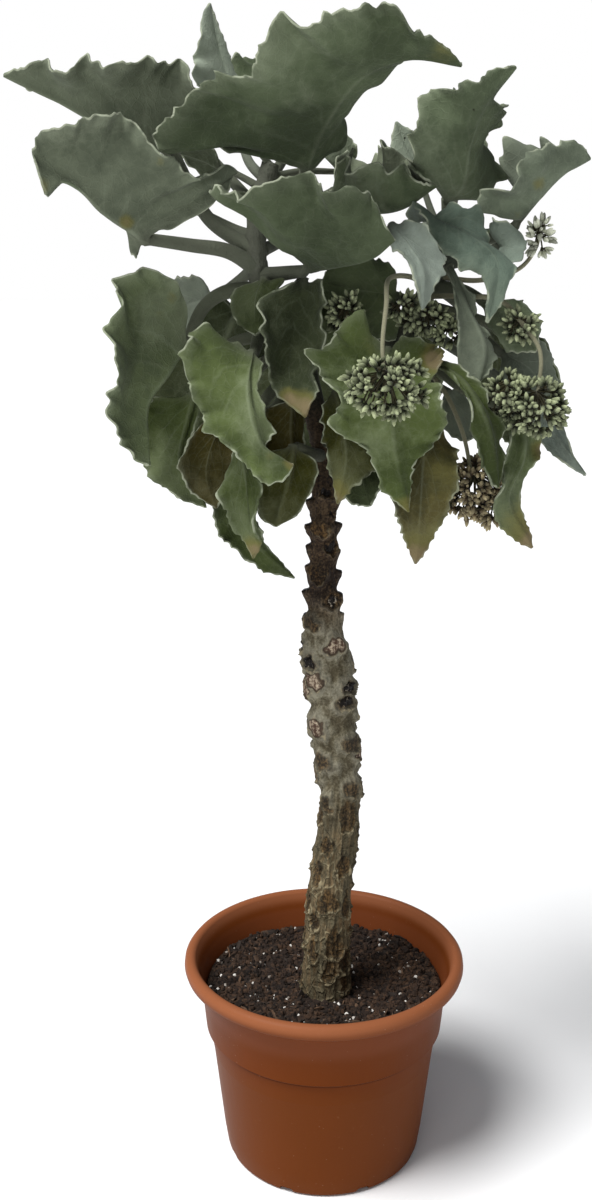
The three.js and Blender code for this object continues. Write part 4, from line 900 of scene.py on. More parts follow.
def crumb_material(sizes):
    """Wet dark potting mix, with black specks of painted shade in its gaps and light flecks of
    painted highlight on its crumbs.
    """
    m = Nodes("potting mix")
    cloud = m.noise(60, 3)
    each = m.cells(190, output="Color")
    brown = (each * 0.6 + cloud * 0.4 + m.noise(14, 2) * 0.5).rise(0.62, 0.98)
    shown = m.layers((*sizes.dark, 1), ("4b3728", brown),
                     # Painted shade: black specks in the gaps; painted highlight: light flecks on
                     # the crumbs.
                     ("0b0806", m.noise(300, 3).rise(0.55, 0.35) * 0.8),
                     ("6b5440", m.noise(420, 2).rise(0.62, 0.75) * 0.5))
    return m.finish(shown, 0.75 + cloud * 0.2, m.noise(700, 4, 0.7), 0.0012,
                    Specular_IOR_Level=0.3)


def chip_material():
    """Bark chips, from brown to black."""
    m = Nodes("bark chips")
    fibre = m.noise(500, 3, where=m.stretched((1, 0.25, 1)))
    shown = m.mix("241a12", "5e4632", m.cells(110, output="Color").rise(0.35, 0.85))
    return m.finish(m.shade(shown, 0.75 + fibre * 0.5), 0.85, fibre)


def grit_material():
    """Pale grains: white and grey, a few pinkish."""
    m = Nodes("pale grit")
    shown = m.mix("8f867c", "e4e0d8", m.cells(130, output="Color").rise(0.3, 0.7))
    return m.finish(shown, 0.9, m.noise(900, 3), 0.0003)


# Stem: lines as points, girth as heights and radii, and marks as height, side in degrees, half
# width, half height and kind

STEM_LINE = [(2, -20, 140), (2, -20, 180), (3, -19, 240), (6, -16, 300), (13, -13, 350),
             (14, -11, 390), (9, -9, 440), (5, -8, 490), (0, -8, 540), (-3, -8, 590),
             (-3, -8, 640), (-3, -8, 690), (-4, -8, 735)]
LEFT_SHOOT = [(-4, -8, 728), (-8, -9, 745), (-28, -12, 795), (-58, -18, 860), (-62, -15, 915),
              (-50, -8, 965)]
RIGHT_SHOOT = [(-3, -7, 696), (6, -6, 716), (42, -2, 790), (84, 0, 850), (101, 0, 898),
               (106, 2, 922)]
STEM_GIRTH = [(140, 23), (180, 24), (200, 22.5), (240, 20.8), (300, 19.3), (400, 17), (450, 19),
              (500, 20), (545, 17.2), (590, 13.6), (640, 12.2), (690, 11), (735, 11)]
STEM_MARKS = [
    (583, -64, 8.3, 7.8, "pocket"), (561, -134, 7.7, 7.9, "brown"), (540, -65, 9.3, 8.3, "tan"),
    (524, -151, 10.7, 9.4, "hole"), (506, -128, 8.4, 9.8, "tan"), (500, -43, 10.2, 8.4, "hole"),
    (484, -52, 9.5, 8.4, "pocket"), (460, -136, 9.6, 10.4, "tan"), (443, -46, 10.1, 9.0, "brown"),
    (424, -129, 10.2, 9.0, "brown"), (399, -59, 8.2, 9.1, "brown"),
    (383, -125, 5.8, 9.6, "brown"), (370, -64, 9.6, 16.3, "shield"),
    (341, -122, 8.3, 9.6, "shield"), (320, -63, 8.7, 12.5, "shield"),
    (311, -134, 6.8, 14.5, "shield"), (284, -94, 10.6, 11.6, "shield"),
    (278, -43, 7.1, 13.6, "shield"), (263, -132, 6.2, 11.7, "shield"),
    (242, -75, 8.9, 18.5, "shield"), (233, -129, 6.7, 12.7, "shield"),
    (220, -37, 7.6, 13.8, "shield"), (212, -85, 7.9, 10.7, "shield"),
    (631, -54, 7.6, 6.9, "socket"), (661, -54, 4.2, 3.8, "socket"),
    (648, -100, 5.5, 7.3, "brown"), (606, -109, 6.6, 8.3, "brown"), (681, -76, 5.5, 5.4, "socket"),
]
# For each kind of mark: the swelling under it, its hollow and its lip in millimetres, and how much
# of it is tan, brown and black; the black is painted shade in its hollow
MARK_KINDS = {"hole": (8.0, 5.5, 2.0, 0.15, 0.7, 0.9), "tan": (7.2, 0.8, 1.6, 1.0, 0.5, 0.05),
              "brown": (6.4, 1.2, 1.8, 0.1, 1.0, 0.25), "pocket": (7.5, 3.6, 2.0, 0.0, 0.9, 0.75),
              "socket": (2.4, 3.2, 1.4, 0.2, 0.7, 1.0), "shield": (1.6, 1.5, 1.9, 0.1, 0.9, 0.1)}
LOOKS = ("relief", "ridge", "tan", "brown", "hole")
MARK_SEED, SPUR_SEED = 11, 12
MARK_ROWS, ROW_GAP, LOWEST_ROW, HIGHEST_SHIELD = 17, 21, 200, 390
SPUR_PAIRS, LOWEST_SPUR, SPUR_GAP = 8, 567, 21
SPURS_ROUND = ((2, 0), (178, 0), (62, 10), (118, 10))
OLD_BARK = (430, 380)


def turn_gap(angle, towards):
    """How far two angles in degrees lie apart, from -180 to 180."""
    return (angle - towards + 180) % 360 - 180


def girth_at(height):
    """The stem's radius at a height."""
    return np.interp(height, *zip(*STEM_GIRTH))


def round_stem(height, angle, towards):
    """How far places lie from one side of the stem, along its bark."""
    return turn_gap(angle, towards) * girth_at(height) * math.pi / 180


def all_marks():
    """The scars seen in front, and more of the same kinds round the sides and the back."""
    rng = np.random.default_rng(MARK_SEED)
    marks = list(STEM_MARKS)
    for row in range(MARK_ROWS):
        for turn in range(3):
            z = LOWEST_ROW + ROW_GAP * row + rng.uniform(-5, 5)
            angle = 120 * turn + 60 * (row % 2) + rng.uniform(-18, 18) - 180
            wide, high = rng.uniform(6.5, 9.5), rng.uniform(8, 11)
            kind, taller = "shield", 1.4
            if z >= HIGHEST_SHIELD:
                kind, taller = rng.choice(["brown", "tan", "brown", "hole", "pocket"]), 1
            near = [math.hypot(round_stem(z, angle, mark[1]) / (wide + mark[2]),
                               (z - mark[0]) / (high + mark[3])) for mark in marks]
            if min(near) > 0.8:
                marks.append((z, angle, wide, high * taller, kind))
    return sorted(marks)


def all_spurs():
    """Height, side and size of each spur: a pair left and right, and a lower pair behind."""
    rng = np.random.default_rng(SPUR_SEED)
    return [(LOWEST_SPUR + SPUR_GAP * pair - lower + rng.uniform(-3.5, 3.5),
             side + rng.uniform(-12, 12), rng.uniform(0.6, 1.15))
            for pair in range(SPUR_PAIRS) for side, lower in SPURS_ROUND]


def stem_relief(height, angle, depth):
    """Relief of the bark in millimetres, and how much of it is pale lip with painted highlight,
    tan, brown and hole painted black as shade.
    """
    radians = np.radians(angle)
    shape = np.broadcast(height, angle).shape
    swelling, relief, ridge, tan, brown, hole = (np.zeros(shape) for _ in range(6))
    rough = (np.sin(7 * radians + height / 3.1) * np.sin(11 * radians - height / 4.3) + 0.7
             * np.sin(17 * radians - height / 2.1) * np.sin(13 * radians + height / 1.7 + 2))
    lifted = (height + 1.8 * np.sin(5 * radians + height / 9)
              + 1.1 * np.sin(12 * radians - height / 4.7))
    shifted = 1.5 * np.sin(height / 6 + 3 * radians) + 0.9 * np.sin(height / 2.9 - 7 * radians)
    for z, towards, wide, high, kind in all_marks():
        swell, dish, lip, pale, earthy, dark = MARK_KINDS[kind]
        up = (lifted - z) / high
        tilt = np.clip(up, -1, 1)
        across = round_stem(height, angle, towards) + shifted
        reach = np.hypot(across / (wide * (1 - 0.28 * tilt)), up) + 0.09 * rough
        bare = 1 - eased(reach, 1.2, 1.02)
        inside = np.exp(-(reach / 0.84) ** 8)
        edge = np.exp(-((reach - 1) * wide) ** 2) * (0.8 - 0.5 * tilt + 0.35 * rough)
        swelling = np.maximum(swelling, swell * np.exp(-(reach / 1.35) ** 3))
        relief = relief * bare + lip * edge - dish * inside * (0.8 + 0.5 * rough)
        # The scars' pale lips take a painted highlight, and their hollows black as painted shade.
        ridge = np.maximum(ridge * bare, edge)
        tan = np.maximum(tan * bare, pale * inside)
        brown = np.maximum(brown * bare, earthy * np.exp(-(reach / 1.05) ** 6))
        hole = np.maximum(hole * bare, dark * np.exp(-(reach / 0.72) ** 6))
    for z, towards, size in all_spurs():
        up = height - z
        across = round_stem(height, angle, towards)
        rise = eased(up, -17, 0) ** 1.3 * eased(up, 2.2, 0)
        swelling += size * depth * rise * np.exp(-(across / (4 + 3 * rise)) ** 2)
        relief -= 1.6 * np.exp(-((up - 4) / 3) ** 2 - (across / 5) ** 2)
        # Painted shade: the socket under each spur turns black.
        hole = np.maximum(hole, np.exp(-((up - 2) / 3.5) ** 2 - (across / 5.5) ** 2))
    old = eased(height, *OLD_BARK)
    cracks = np.sin(5 * radians + height / 23) * np.sin(9 * radians - height / 31 + 1)
    fibres = np.abs(np.sin(13 * radians + 0.9 * np.sin(height / 17))) ** 3
    relief += swelling + (0.5 + 0.5 * old) * cracks + 0.3 * rough + 0.9 * old * fibres
    return relief, ridge, tan, brown, hole


class FELT_OT_stem(bpy.types.Operator):
    """Raise the stem with its bark, scars and spurs, and the two felted shoots it forks into"""
    bl_idname = "felt.stem"
    bl_label = "Stem"

    def execute(self, context):
        sizes = context.scene.felt_stem
        line = Line(STEM_LINE)
        centres = line.at(np.linspace(0, 1, int(line.length * MM / sizes.ring_step)))
        height = centres[:, 2:3]
        radians = circle(sizes.sides)
        looks = stem_relief(height, np.degrees(radians)[None, :], sizes.spur_depth / MM)
        out = np.stack([np.cos(radians), np.sin(radians), 0 * radians], axis=-1)
        rings = centres[:, None] + out * (girth_at(height) + looks[0])[:, :, None]
        vertices, quads, fans = skin(rings, centres[0], centres[-1])
        values = {name: np.append(look, [0, 0]) for name, look in zip(LOOKS, looks)}
        shape = Shape()
        shape.add(vertices * MM, quads, fans, **values)
        for points in (LEFT_SHOOT, RIGHT_SHOOT):
            self.shoot(shape, Line(points))
        place_in(shape.object("stem_bark"), "stem", stem_material(sizes))
        return {"FINISHED"}

    def shoot(self, shape, line):
        """One leading shoot: smooth and felted, a little thicker at each pair of stalks."""
        places = np.linspace(0, 1, 90)
        knots = 0.9 * np.cos(2 * np.pi * places * line.length / 27) ** 6
        radius = 11.2 - 3.6 * places + knots
        shape.add_tube(line, places, radius, 40, **dict.fromkeys(LOOKS, 0))


def stem_material(sizes):
    """Bark: grey and ridged below, almost black between the spurs, felted grey on the shoots;
    painted shade in the hollows, holes and under the crown, painted highlights on swellings and
    scar lips.
    """
    m = Nodes("bark")
    z = m.axes(m.here)[2]
    relief, ridge, tan, brown, hole = (m.value(name) for name in LOOKS)
    cloud = m.noise(22, 3)
    speck = m.noise(420, 4, 0.65)
    grain = speck - 0.5
    fibres = m.noise(260, 3, where=m.stretched((1, 1, 0.2)))
    old, upper, young = z.rise(0.42, 0.34), z.rise(0.54, 0.59), z.rise(0.74, 0.81)
    web = m.stretched((1, 1, 0.4), m.shaken(60, 0.012))
    wrinkle = m.cells(95, "DISTANCE_TO_EDGE", where=web).rise(0.09, 0.0) * old
    # Painted shade: the bark's colour thins over the hollows of the relief so the dark bark shows
    # there, mixed with random tone.
    lit_where_raised = (relief + grain * 2.0 + (cloud - 0.5) * 1.6).rise(-1.5, 2.5)
    # Pale grey bark from clouds and grain, and on the swellings a painted highlight.
    pale = (relief * 0.12 + cloud + grain * 0.6).rise(0.45, 0.95)
    burnt = m.mix("251914", "5c4a36", (grain * 1.2 + cloud).rise(0.25, 0.8))
    scar = m.mix("20160a", "6b5230", (grain * 1.8 + fibres).rise(0.3, 0.95))
    disc = m.mix("5b4437", "b0a18b", (fibres + grain * 1.1).rise(0.38, 0.68))
    # Painted shade and glints: the holes are black, with pale flecks as painted glints.
    hollow_shade_and_glint = m.mix("150e09", "b9ae9c", (speck * 0.5 + fibres * 0.5).rise(0.57, 0.62) * 0.7)
    shown = m.layers(
        (*sizes.dark_bark, 1), ((*sizes.bark, 1), lit_where_raised * 0.6 + 0.45),
        ("78725f", cloud.rise(0.45, 0.65) * fibres.rise(0.4, 0.7) * 0.5),
        ("6f5a3e", old * (cloud + (fibres - 0.5)).rise(0.35, 0.75) * 0.7),
        ("979381", pale * (1 - old) * 0.75),
        ("a09576", wrinkle * cloud.rise(0.35, 0.6) * 0.6),
        (burnt, upper * 0.95),
        (scar, brown * (0.7 + cloud * 0.4)),
        # Pale lips of the scars: partly pale bark, partly painted highlight.
        ("9a8f72", ridge.rise(0.45, 1.0) * (1 - upper * 0.7) * fibres.rise(0.35, 0.6) * 0.8),
        ("3b281d", tan.rise(0.05, 0.3) * 0.8),
        (disc, tan.rise(0.55, 0.98)),
        (hollow_shade_and_glint, hole.rise(0.15, 0.75)))
    worn = (0.4 + fibres * 0.9 + grain * 1.3 + (cloud - 0.5) * 0.7).most(0.15)
    felt = m.mix("414236", (*sizes.shoot, 1), cloud + grain * 0.5)
    # Painted shade: the top of the stem, under the crown, is darkened by up to half.
    shown = m.mix(m.shade(shown, worn * (1 - z.rise(0.64, 0.7) * 0.5)), felt, young)
    height = speck * 0.6 + fibres * 0.7 + wrinkle * 0.7
    return m.finish(shown, 0.85 - hole.rise(0.5, 0.9) * 0.55, height, 0.0022,
                    Specular_IOR_Level=0.2)


# Leaves

LEAF_SEED = 100
ACROSS = np.array([0, 0.03, 0.07, 0.13, 0.2, 0.28, 0.37, 0.46, 0.55, 0.64, 0.72, 0.8, 0.87, 0.925,
                   0.965, 1.0])
FEWEST_ROWS, MOST_ROWS = 30, 190
RIB_CROWDING = 1.4
FULL_RELIEF_WIDTH = 40
FULL_TOOTH_WIDTH = 12
RING_GAP = 3.5
KEEL_WIDTH = 3.4
# Shares of the height and of the length of the waves that reach far into the blade, and of those
# that curl the rim alone
WAVES = (((0.75, 2.3), (0.5, 1.2)), ((0.5, 0.8), (0.3, 0.43)))
# Lengths in millimetres and shares of the depth of the dents
DENTS = ((95, 1.0), (70, 0.9), (52, 0.7), (38, 0.45), (24, 0.25), (17, 0.14))
# Colours of the upper side and of the underside; dark is the felt made darker for the leaves at the
# back, in hollows and deep in the crown, as painted shade
TINTS = {
    "grey": ("545f46", "585f4b"), "dark": ("424b2e", "444b31"), "pale": ("8b967d", "929c85"),
    "bluish": ("6a7a6c", "8f9b90"), "fresh": ("576536", "505c32"), "olive": ("494c10", "464714"),
    "brown": ("51491b", "4c4317"),
}


def margin_teeth(reach, depth, spacing, rng):
    """How far the margin steps in and out along its length: uneven points with bays between."""
    count = max(3, int(reach[-1] / spacing))
    points = np.arange(-1, count + 2) + rng.uniform(-0.32, 0.32, count + 3)
    points *= reach[-1] / count
    heights = rng.uniform(0.2, 1.5, count + 3)
    which = np.clip(np.searchsorted(points, reach) - 1, 0, count + 1)
    inside = np.clip((reach - points[which]) / (points[which + 1] - points[which]), 0, 1)
    height = heights[which] * (1 - inside) + heights[which + 1] * inside
    return depth * (height * np.abs(2 * inside - 1) ** 1.7 - 0.45)


def margin_waves(reach, height, wave_length, rng):
    """How far the margin sways out of the blade's plane, in long waves and in short ones."""
    parts = []
    for group in WAVES:
        total = np.zeros_like(reach)
        for share, longer in group:
            turn = 2 * np.pi * reach / (wave_length * longer * rng.uniform(0.8, 1.25))
            wander = 1.1 * np.sin(turn * rng.uniform(0.27, 0.41) + rng.uniform(0, 6))
            total += share * height * np.sin(turn + wander + rng.uniform(0, 6))
        parts.append(total)
    return parts


def dents(points, depth, rng):
    """Shallow dents and swells all over the blade."""
    total = np.zeros(points.shape[:2])
    for length, share in DENTS:
        facing = unit(rng.normal(0, 1, 3)) * 2 * np.pi / length
        total += share * np.sin(points @ facing + rng.uniform(0, 6))
    return depth * total


def half_blade(leaf, sizes, rng, hand, u, middle, along):
    """Grid of points from the rib to one margin, and how far each lies from the margin."""
    line = Line([leaf["rib"][0], *leaf[("left", "right")[hand]], leaf["rib"][-1]])
    across = line.at(u) - middle
    width = np.linalg.norm(across, axis=1)
    normal = unit(evened(unit(np.cross(along, across)) * (1 - 2 * hand), len(u) * 0.05))
    relief = np.minimum(1, width / FULL_RELIEF_WIDTH)
    run = u * line.length
    fine = margin_teeth(run, sizes.tooth_depth / MM, sizes.tooth_spacing / MM, rng)
    large = margin_teeth(run, sizes.lobe_depth / MM, sizes.lobe_spacing / MM, rng)
    tooth = (fine + large * relief) * leaf["teeth"] * np.minimum(1, width / FULL_TOOTH_WIDTH)
    broad, short = margin_waves(run, sizes.wave_height / MM * leaf["waves"],
                                sizes.wave_length / MM, rng)
    ends = eased(u, 0, 0.06) * eased(u, 1, 0.95)
    s = ACROSS[None, :]
    outward = unit(across) * (tooth * ends)[:, None]
    half = middle[:, None] + across[:, None] * s[..., None] + outward[:, None] * s[..., None] ** 6
    bulge = 4 * s * (1 - s) * (sizes.belly / MM * relief)[:, None]
    sway = s ** 2 * (broad * relief * ends)[:, None] + s ** 7 * (short * relief * ends)[:, None]
    sunk = dents(half, sizes.dent / MM, rng) * (relief * ends)[:, None] * s ** 0.5
    return half + normal[:, None] * (bulge + sway + sunk)[..., None], (1 - s) * width[:, None]


def blade_surface(leaf, sizes, rng):
    """Grid of points over the middle of the blade from the left margin to the right, the place of
    each row and column, and how far each point lies from the margin."""
    rib = Line(leaf["rib"])
    edges = [Line([leaf["rib"][0], *leaf[hand], leaf["rib"][-1]]) for hand in ("left", "right")]
    longest = max(line.length for line in (rib, *edges))
    rows = int(np.clip(longest * MM / sizes.row_step, FEWEST_ROWS, MOST_ROWS))
    u = (np.arange(rows) + 0.6) / (rows + 0.2)
    middle, along = rib.at(u ** RIB_CROWDING), rib.heading(u ** RIB_CROWDING)
    left, left_rim = half_blade(leaf, sizes, rng, 0, u, middle, along)
    right, right_rim = half_blade(leaf, sizes, rng, 1, u, middle, along)
    grid = np.concatenate([left[:, ::-1], right[:, 1:]], axis=1)
    centre = len(ACROSS) - 1
    for _ in range(2):
        soft = 0.5 * grid[:, 1:-1] + 0.25 * (grid[:, 2:] + grid[:, :-2])
        grid[:, centre - 2:centre + 3] = soft[:, centre - 3:centre + 2]
    rim = np.concatenate([left_rim[:, ::-1], right_rim[:, 1:]], axis=1)
    side = np.concatenate([ACROSS[::-1], ACROSS[1:]])
    return grid, u, side, rim, rib


def leaf_rings(leaf, sizes, rng):
    """Rings round the stalk and then round the blade, with the values that the felt needs."""
    grid, u, side, rim, rib = blade_surface(leaf, sizes, rng)
    half = sizes.thickness / MM / 2
    normal = unit(evened(unit(np.cross(np.gradient(grid, axis=0), -np.gradient(grid, axis=1))), 3))
    width = np.linalg.norm(grid[:, -1] - grid[:, 0], axis=1)[:, None]
    keel = ((0.9 + 3.4 * (1 - u[:, None]) ** 2.2)
            * np.exp(-(side * width / 2 / KEEL_WIDTH) ** 2))
    thick = half * (1 - 0.45 * side ** 8)[None, :]
    upper = grid + normal * thick[:, :, None]
    lower = grid - normal * (thick + keel)[:, :, None]
    rim_left = grid[:, :1] + unit(grid[:, :1] - grid[:, 1:2]) * half * 0.5
    rim_right = grid[:, -1:] + unit(grid[:, -1:] - grid[:, -2:-1]) * half * 0.5
    blade = np.concatenate([upper, rim_right, lower[:, ::-1], rim_left], axis=1)
    size = blade.shape[1]
    angle = 2 * np.pi * (np.arange(size) + 1) / size

    stalk = Line([*leaf["stalk"], leaf["rib"][0]])
    handed = grid[len(grid) // 3, 0] - grid[len(grid) // 3, -1]
    root = sizes.stalk_radius / MM * leaf["thin"]

    def circles(centres, along, radius):
        left = unit(handed - along * (along @ handed)[:, None])
        return hoops(centres, left, np.cross(along, left), angle, radius)

    places = np.linspace(0, 1, max(6, int(stalk.length / RING_GAP)))[:-1]
    swell = (1 + 0.3 * np.exp(-places * stalk.length / 9)) * (1 - 0.28 * places)
    stalk_rings = circles(stalk.at(places), stalk.heading(places), root * swell)
    crowded = u ** RIB_CROWDING
    tapering = root * 0.72 * (1 - 0.8 * u)
    sunk = normal[:, len(ACROSS) - 1] * tapering[:, None] * 0.6
    foot_rings = circles(rib.at(crowded) - sunk, rib.heading(crowded), tapering)
    share = eased(u * rib.length, 0, min(34, rib.length * 0.3))[:, None]
    blade = foot_rings * (1 - share[..., None]) + blade * share[..., None]
    rings = np.concatenate([stalk_rings, blade])

    def everywhere(top, bottom, edge, on_stalk, last):
        """A value for each vertex, from those on both faces, the edge, the stalk and the tip."""
        faces = [np.broadcast_to(face, rim.shape) for face in (top, bottom)]
        edges = np.full((len(u), 1), edge)
        blade_values = np.concatenate([faces[0], edges, faces[1][:, ::-1], edges], axis=1)
        stalk_values = np.full((len(places), size), on_stalk)
        return np.append(np.concatenate([stalk_values, blade_values]), [on_stalk, last])

    row = u[:, None]
    attributes = {
        "over": everywhere(1, 0, 0.5, 0.3, 0.5),
        "rim": everywhere(rim, rim, 0, 30, 0),
        "side": everywhere(side, side, 1, 0.5, 1),
        "along": everywhere(row, row, row, 0, 1),
        "stalk": everywhere(1 - share, 1 - share, 0, 1, 0),
    }
    return rings, stalk.at(0.0), np.array(leaf["rib"][-1]), attributes


def ageing(leaf, vertices, values):
    """How far each vertex has turned from green to brown: at the tip, the rim and in patches."""
    tip = eased(values["along"], 0.45, 1.05)
    edge = np.exp(-values["rim"] / 7) * (1 - values["stalk"])
    aged = leaf["age"] * (0.25 + 0.75 * tip + 0.25 * edge)
    for x, z, radius, amount in leaf["patches"]:
        gap = np.hypot(vertices[:, 0] - x, vertices[:, 2] - z)
        aged = aged + amount * np.exp(-(gap / radius) ** 2)
    return aged


def crown_shade(vertices):
    """How far inside the crown each vertex lies, where the leaves and stalks are darkened as
    painted shade.
    """
    x, y, z = vertices.T
    from_stem = np.hypot(x - np.interp(z, (700, 850), (0, 40)), y + 8)
    return eased(from_stem, 105, 25) * eased(z, 960, 880)


class FELT_OT_leaves(bpy.types.Operator):
    """Shape every leaf from its stalk, rib and margins"""
    bl_idname = "felt.leaves"
    bl_label = "Leaves"

    def execute(self, context):
        sizes = context.scene.felt_leaf
        materials = {tint: felt_material(tint, *sides) for tint, sides in TINTS.items()}
        for number, leaf in enumerate(LEAVES):
            rng = np.random.default_rng(LEAF_SEED + number)
            rings, start, tip, values = leaf_rings(leaf, sizes, rng)
            vertices, quads, fans = skin(rings, start, tip)
            values["age"] = ageing(leaf, vertices, values)
            values["inner"] = crown_shade(vertices)
            values["tone"] = leaf["tone"] + rng.uniform(-0.06, 0.06)
            shape = Shape()
            shape.add(vertices * MM, quads, fans, **values)
            place_in(shape.object("felt_leaf_" + leaf["name"]), "leaf_" + leaf["name"],
                     materials[leaf["tint"]])
        return {"FINISHED"}


def felt_material(tint, over, under):
    """Felted leaf: faint veins, soft clouds of deep and bluish green, a whitish rim, scars, and
    brown where it dies back; painted sheen pales the margins and painted shade darkens the crown's
    inside."""
    m = Nodes("felt " + tint)
    along, side, upper, rim, stalk, age, tone, inner = (
        m.value(name) for name in ("along", "side", "over", "rim", "stalk", "age", "tone", "inner"))
    cloud = m.noise(15, 2)
    drift = m.noise(9, 2, where=m.shaken(4, 0.05))
    mottle = m.noise(85, 4, 0.62)
    spots = mottle - 0.5
    grain = m.noise(900, 3, 0.6)
    lines = (along * 6.5 - side * 2.4 + (m.noise(30, 2) - 0.5) * 1.2) % 1
    lateral = abs(lines - 0.5).rise(0.14, 0.0) * side.rise(0.9, 0.3) * along.rise(0.9, 0.4)
    middle = side.rise(0.045, 0.0) * along.rise(1.0, 0.5)
    net = m.cells(120, "DISTANCE_TO_EDGE", where=m.shaken(60, 0.01)).rise(0.10, 0.0)
    vein = (lateral * 0.5).most(middle) * (1 - stalk)

    shown = m.mix(under, over, upper)
    deep = m.mix(m.shade(shown, 0.55), "28381a", 0.35)
    shown = m.mix(shown, deep, (cloud * 0.6 + drift * 0.4 + spots * 0.3).rise(0.54, 0.4) * 0.5)
    # Worn paler patches, and a paler band along the margins that is partly the felt's own whiteness
    # and partly painted sheen.
    worn = (drift + spots * 0.25).rise(0.5, 0.66) * 0.3 + side.rise(0.8, 1.0) * 0.3
    whitish = (vein * 0.3 + net * 0.08 + worn + (grain - 0.5) * 0.22).most(0)
    shown = m.layers(shown, (m.mix(shown, "a5ad94", 0.5), whitish),
                     ("9fa89c", (tone * 0.16).most(0)))
    clouded = 1.0 + spots * 0.35 + (cloud - 0.5) * 0.9
    shown = m.shade(shown, clouded * (1 + tone.least(0) * 0.5))

    turned = (age + spots * 0.45 + (cloud - 0.5) * 0.4) * (1 - stalk * 0.7)
    shown = m.layers(shown, ("6d693a", turned.rise(0.22, 0.65) * 0.75),
                     ("7f7155", turned.rise(0.6, 1.0) * 0.85),
                     ("5a4832", turned.rise(1.05, 1.5) * 0.8))
    # Painted shade: leaves deep inside the crown are darkened.
    shown = m.shade(shown, 1 - inner * 0.25)
    scars = (m.cells(42, where=m.shaken(90, 0.012)).rise(0.09, 0.06)
             * m.cells(42, output="Color").rise(0.82, 0.84))
    # The stalk colour, darkened inside the crown as painted shade.
    on_stalk = m.shade("5a5d50", (0.65 + cloud * 0.6) * (1 - inner * 0.55))
    edge = rim.rise(1.1, 0.2) * m.noise(60, 2).rise(0.4, 0.6) * (1 - stalk)
    shown = m.layers(shown, ("211f14", scars * (0.6 + mottle * 0.6)), (on_stalk, stalk * 0.85),
                     ("adb39c", edge * (0.95 - age).most(0.3) * 0.8))
    height = grain * 0.5 + vein * 0.5 + net * 0.2 + mottle * 0.7
    return m.finish(shown, 0.86 + spots * 0.1, height, 0.0009, Sheen_Weight=0.06,
                    Sheen_Roughness=0.4, Specular_IOR_Level=0.12)


# Bud clusters

BUD_SEED = 500
BUD_SIDES = 6
# Heights and widths of a bud's rings, as shares of its length and width
BUD_RINGS = [(0.0, 0.3), (0.16, 0.85), (0.45, 1.0), (0.78, 0.74), (0.95, 0.3)]
# Colours of the buds at base and tip; the dark bases are partly the buds' own colour and partly
# painted shade where they crowd.
BUD_COLOURS = {"fresh": ("1f2611", "a3ab85"), "pale": ("b0b49c", "d9dcc8"),
               "brown": ("45321f", "a99d7b")}
GOLDEN_ANGLE = math.pi * (3 - math.sqrt(5))
CLUMPS_PER_BUD = 1.15


def bud_body(sizes):
    """One blunt bud along +Z, its base at 0: a plump body and closed lobes."""
    angle = circle(BUD_SIDES)
    rings = []
    for height, width in BUD_RINGS:
        lobes = 1 - 0.14 * height * (np.arange(BUD_SIDES) % 2)
        radius = sizes.bud_width / 2 * width * lobes
        rings.append(np.stack([radius * np.cos(angle), radius * np.sin(angle),
                               np.full(BUD_SIDES, height * sizes.bud_length)], axis=-1))
    return skin(np.array(rings), [0, 0, -0.0003], [0, 0, sizes.bud_length])


def pointing(direction):
    """A turn that brings +Z to a direction."""
    return np.array(Vector(direction).to_track_quat("Z", "Y").to_matrix())


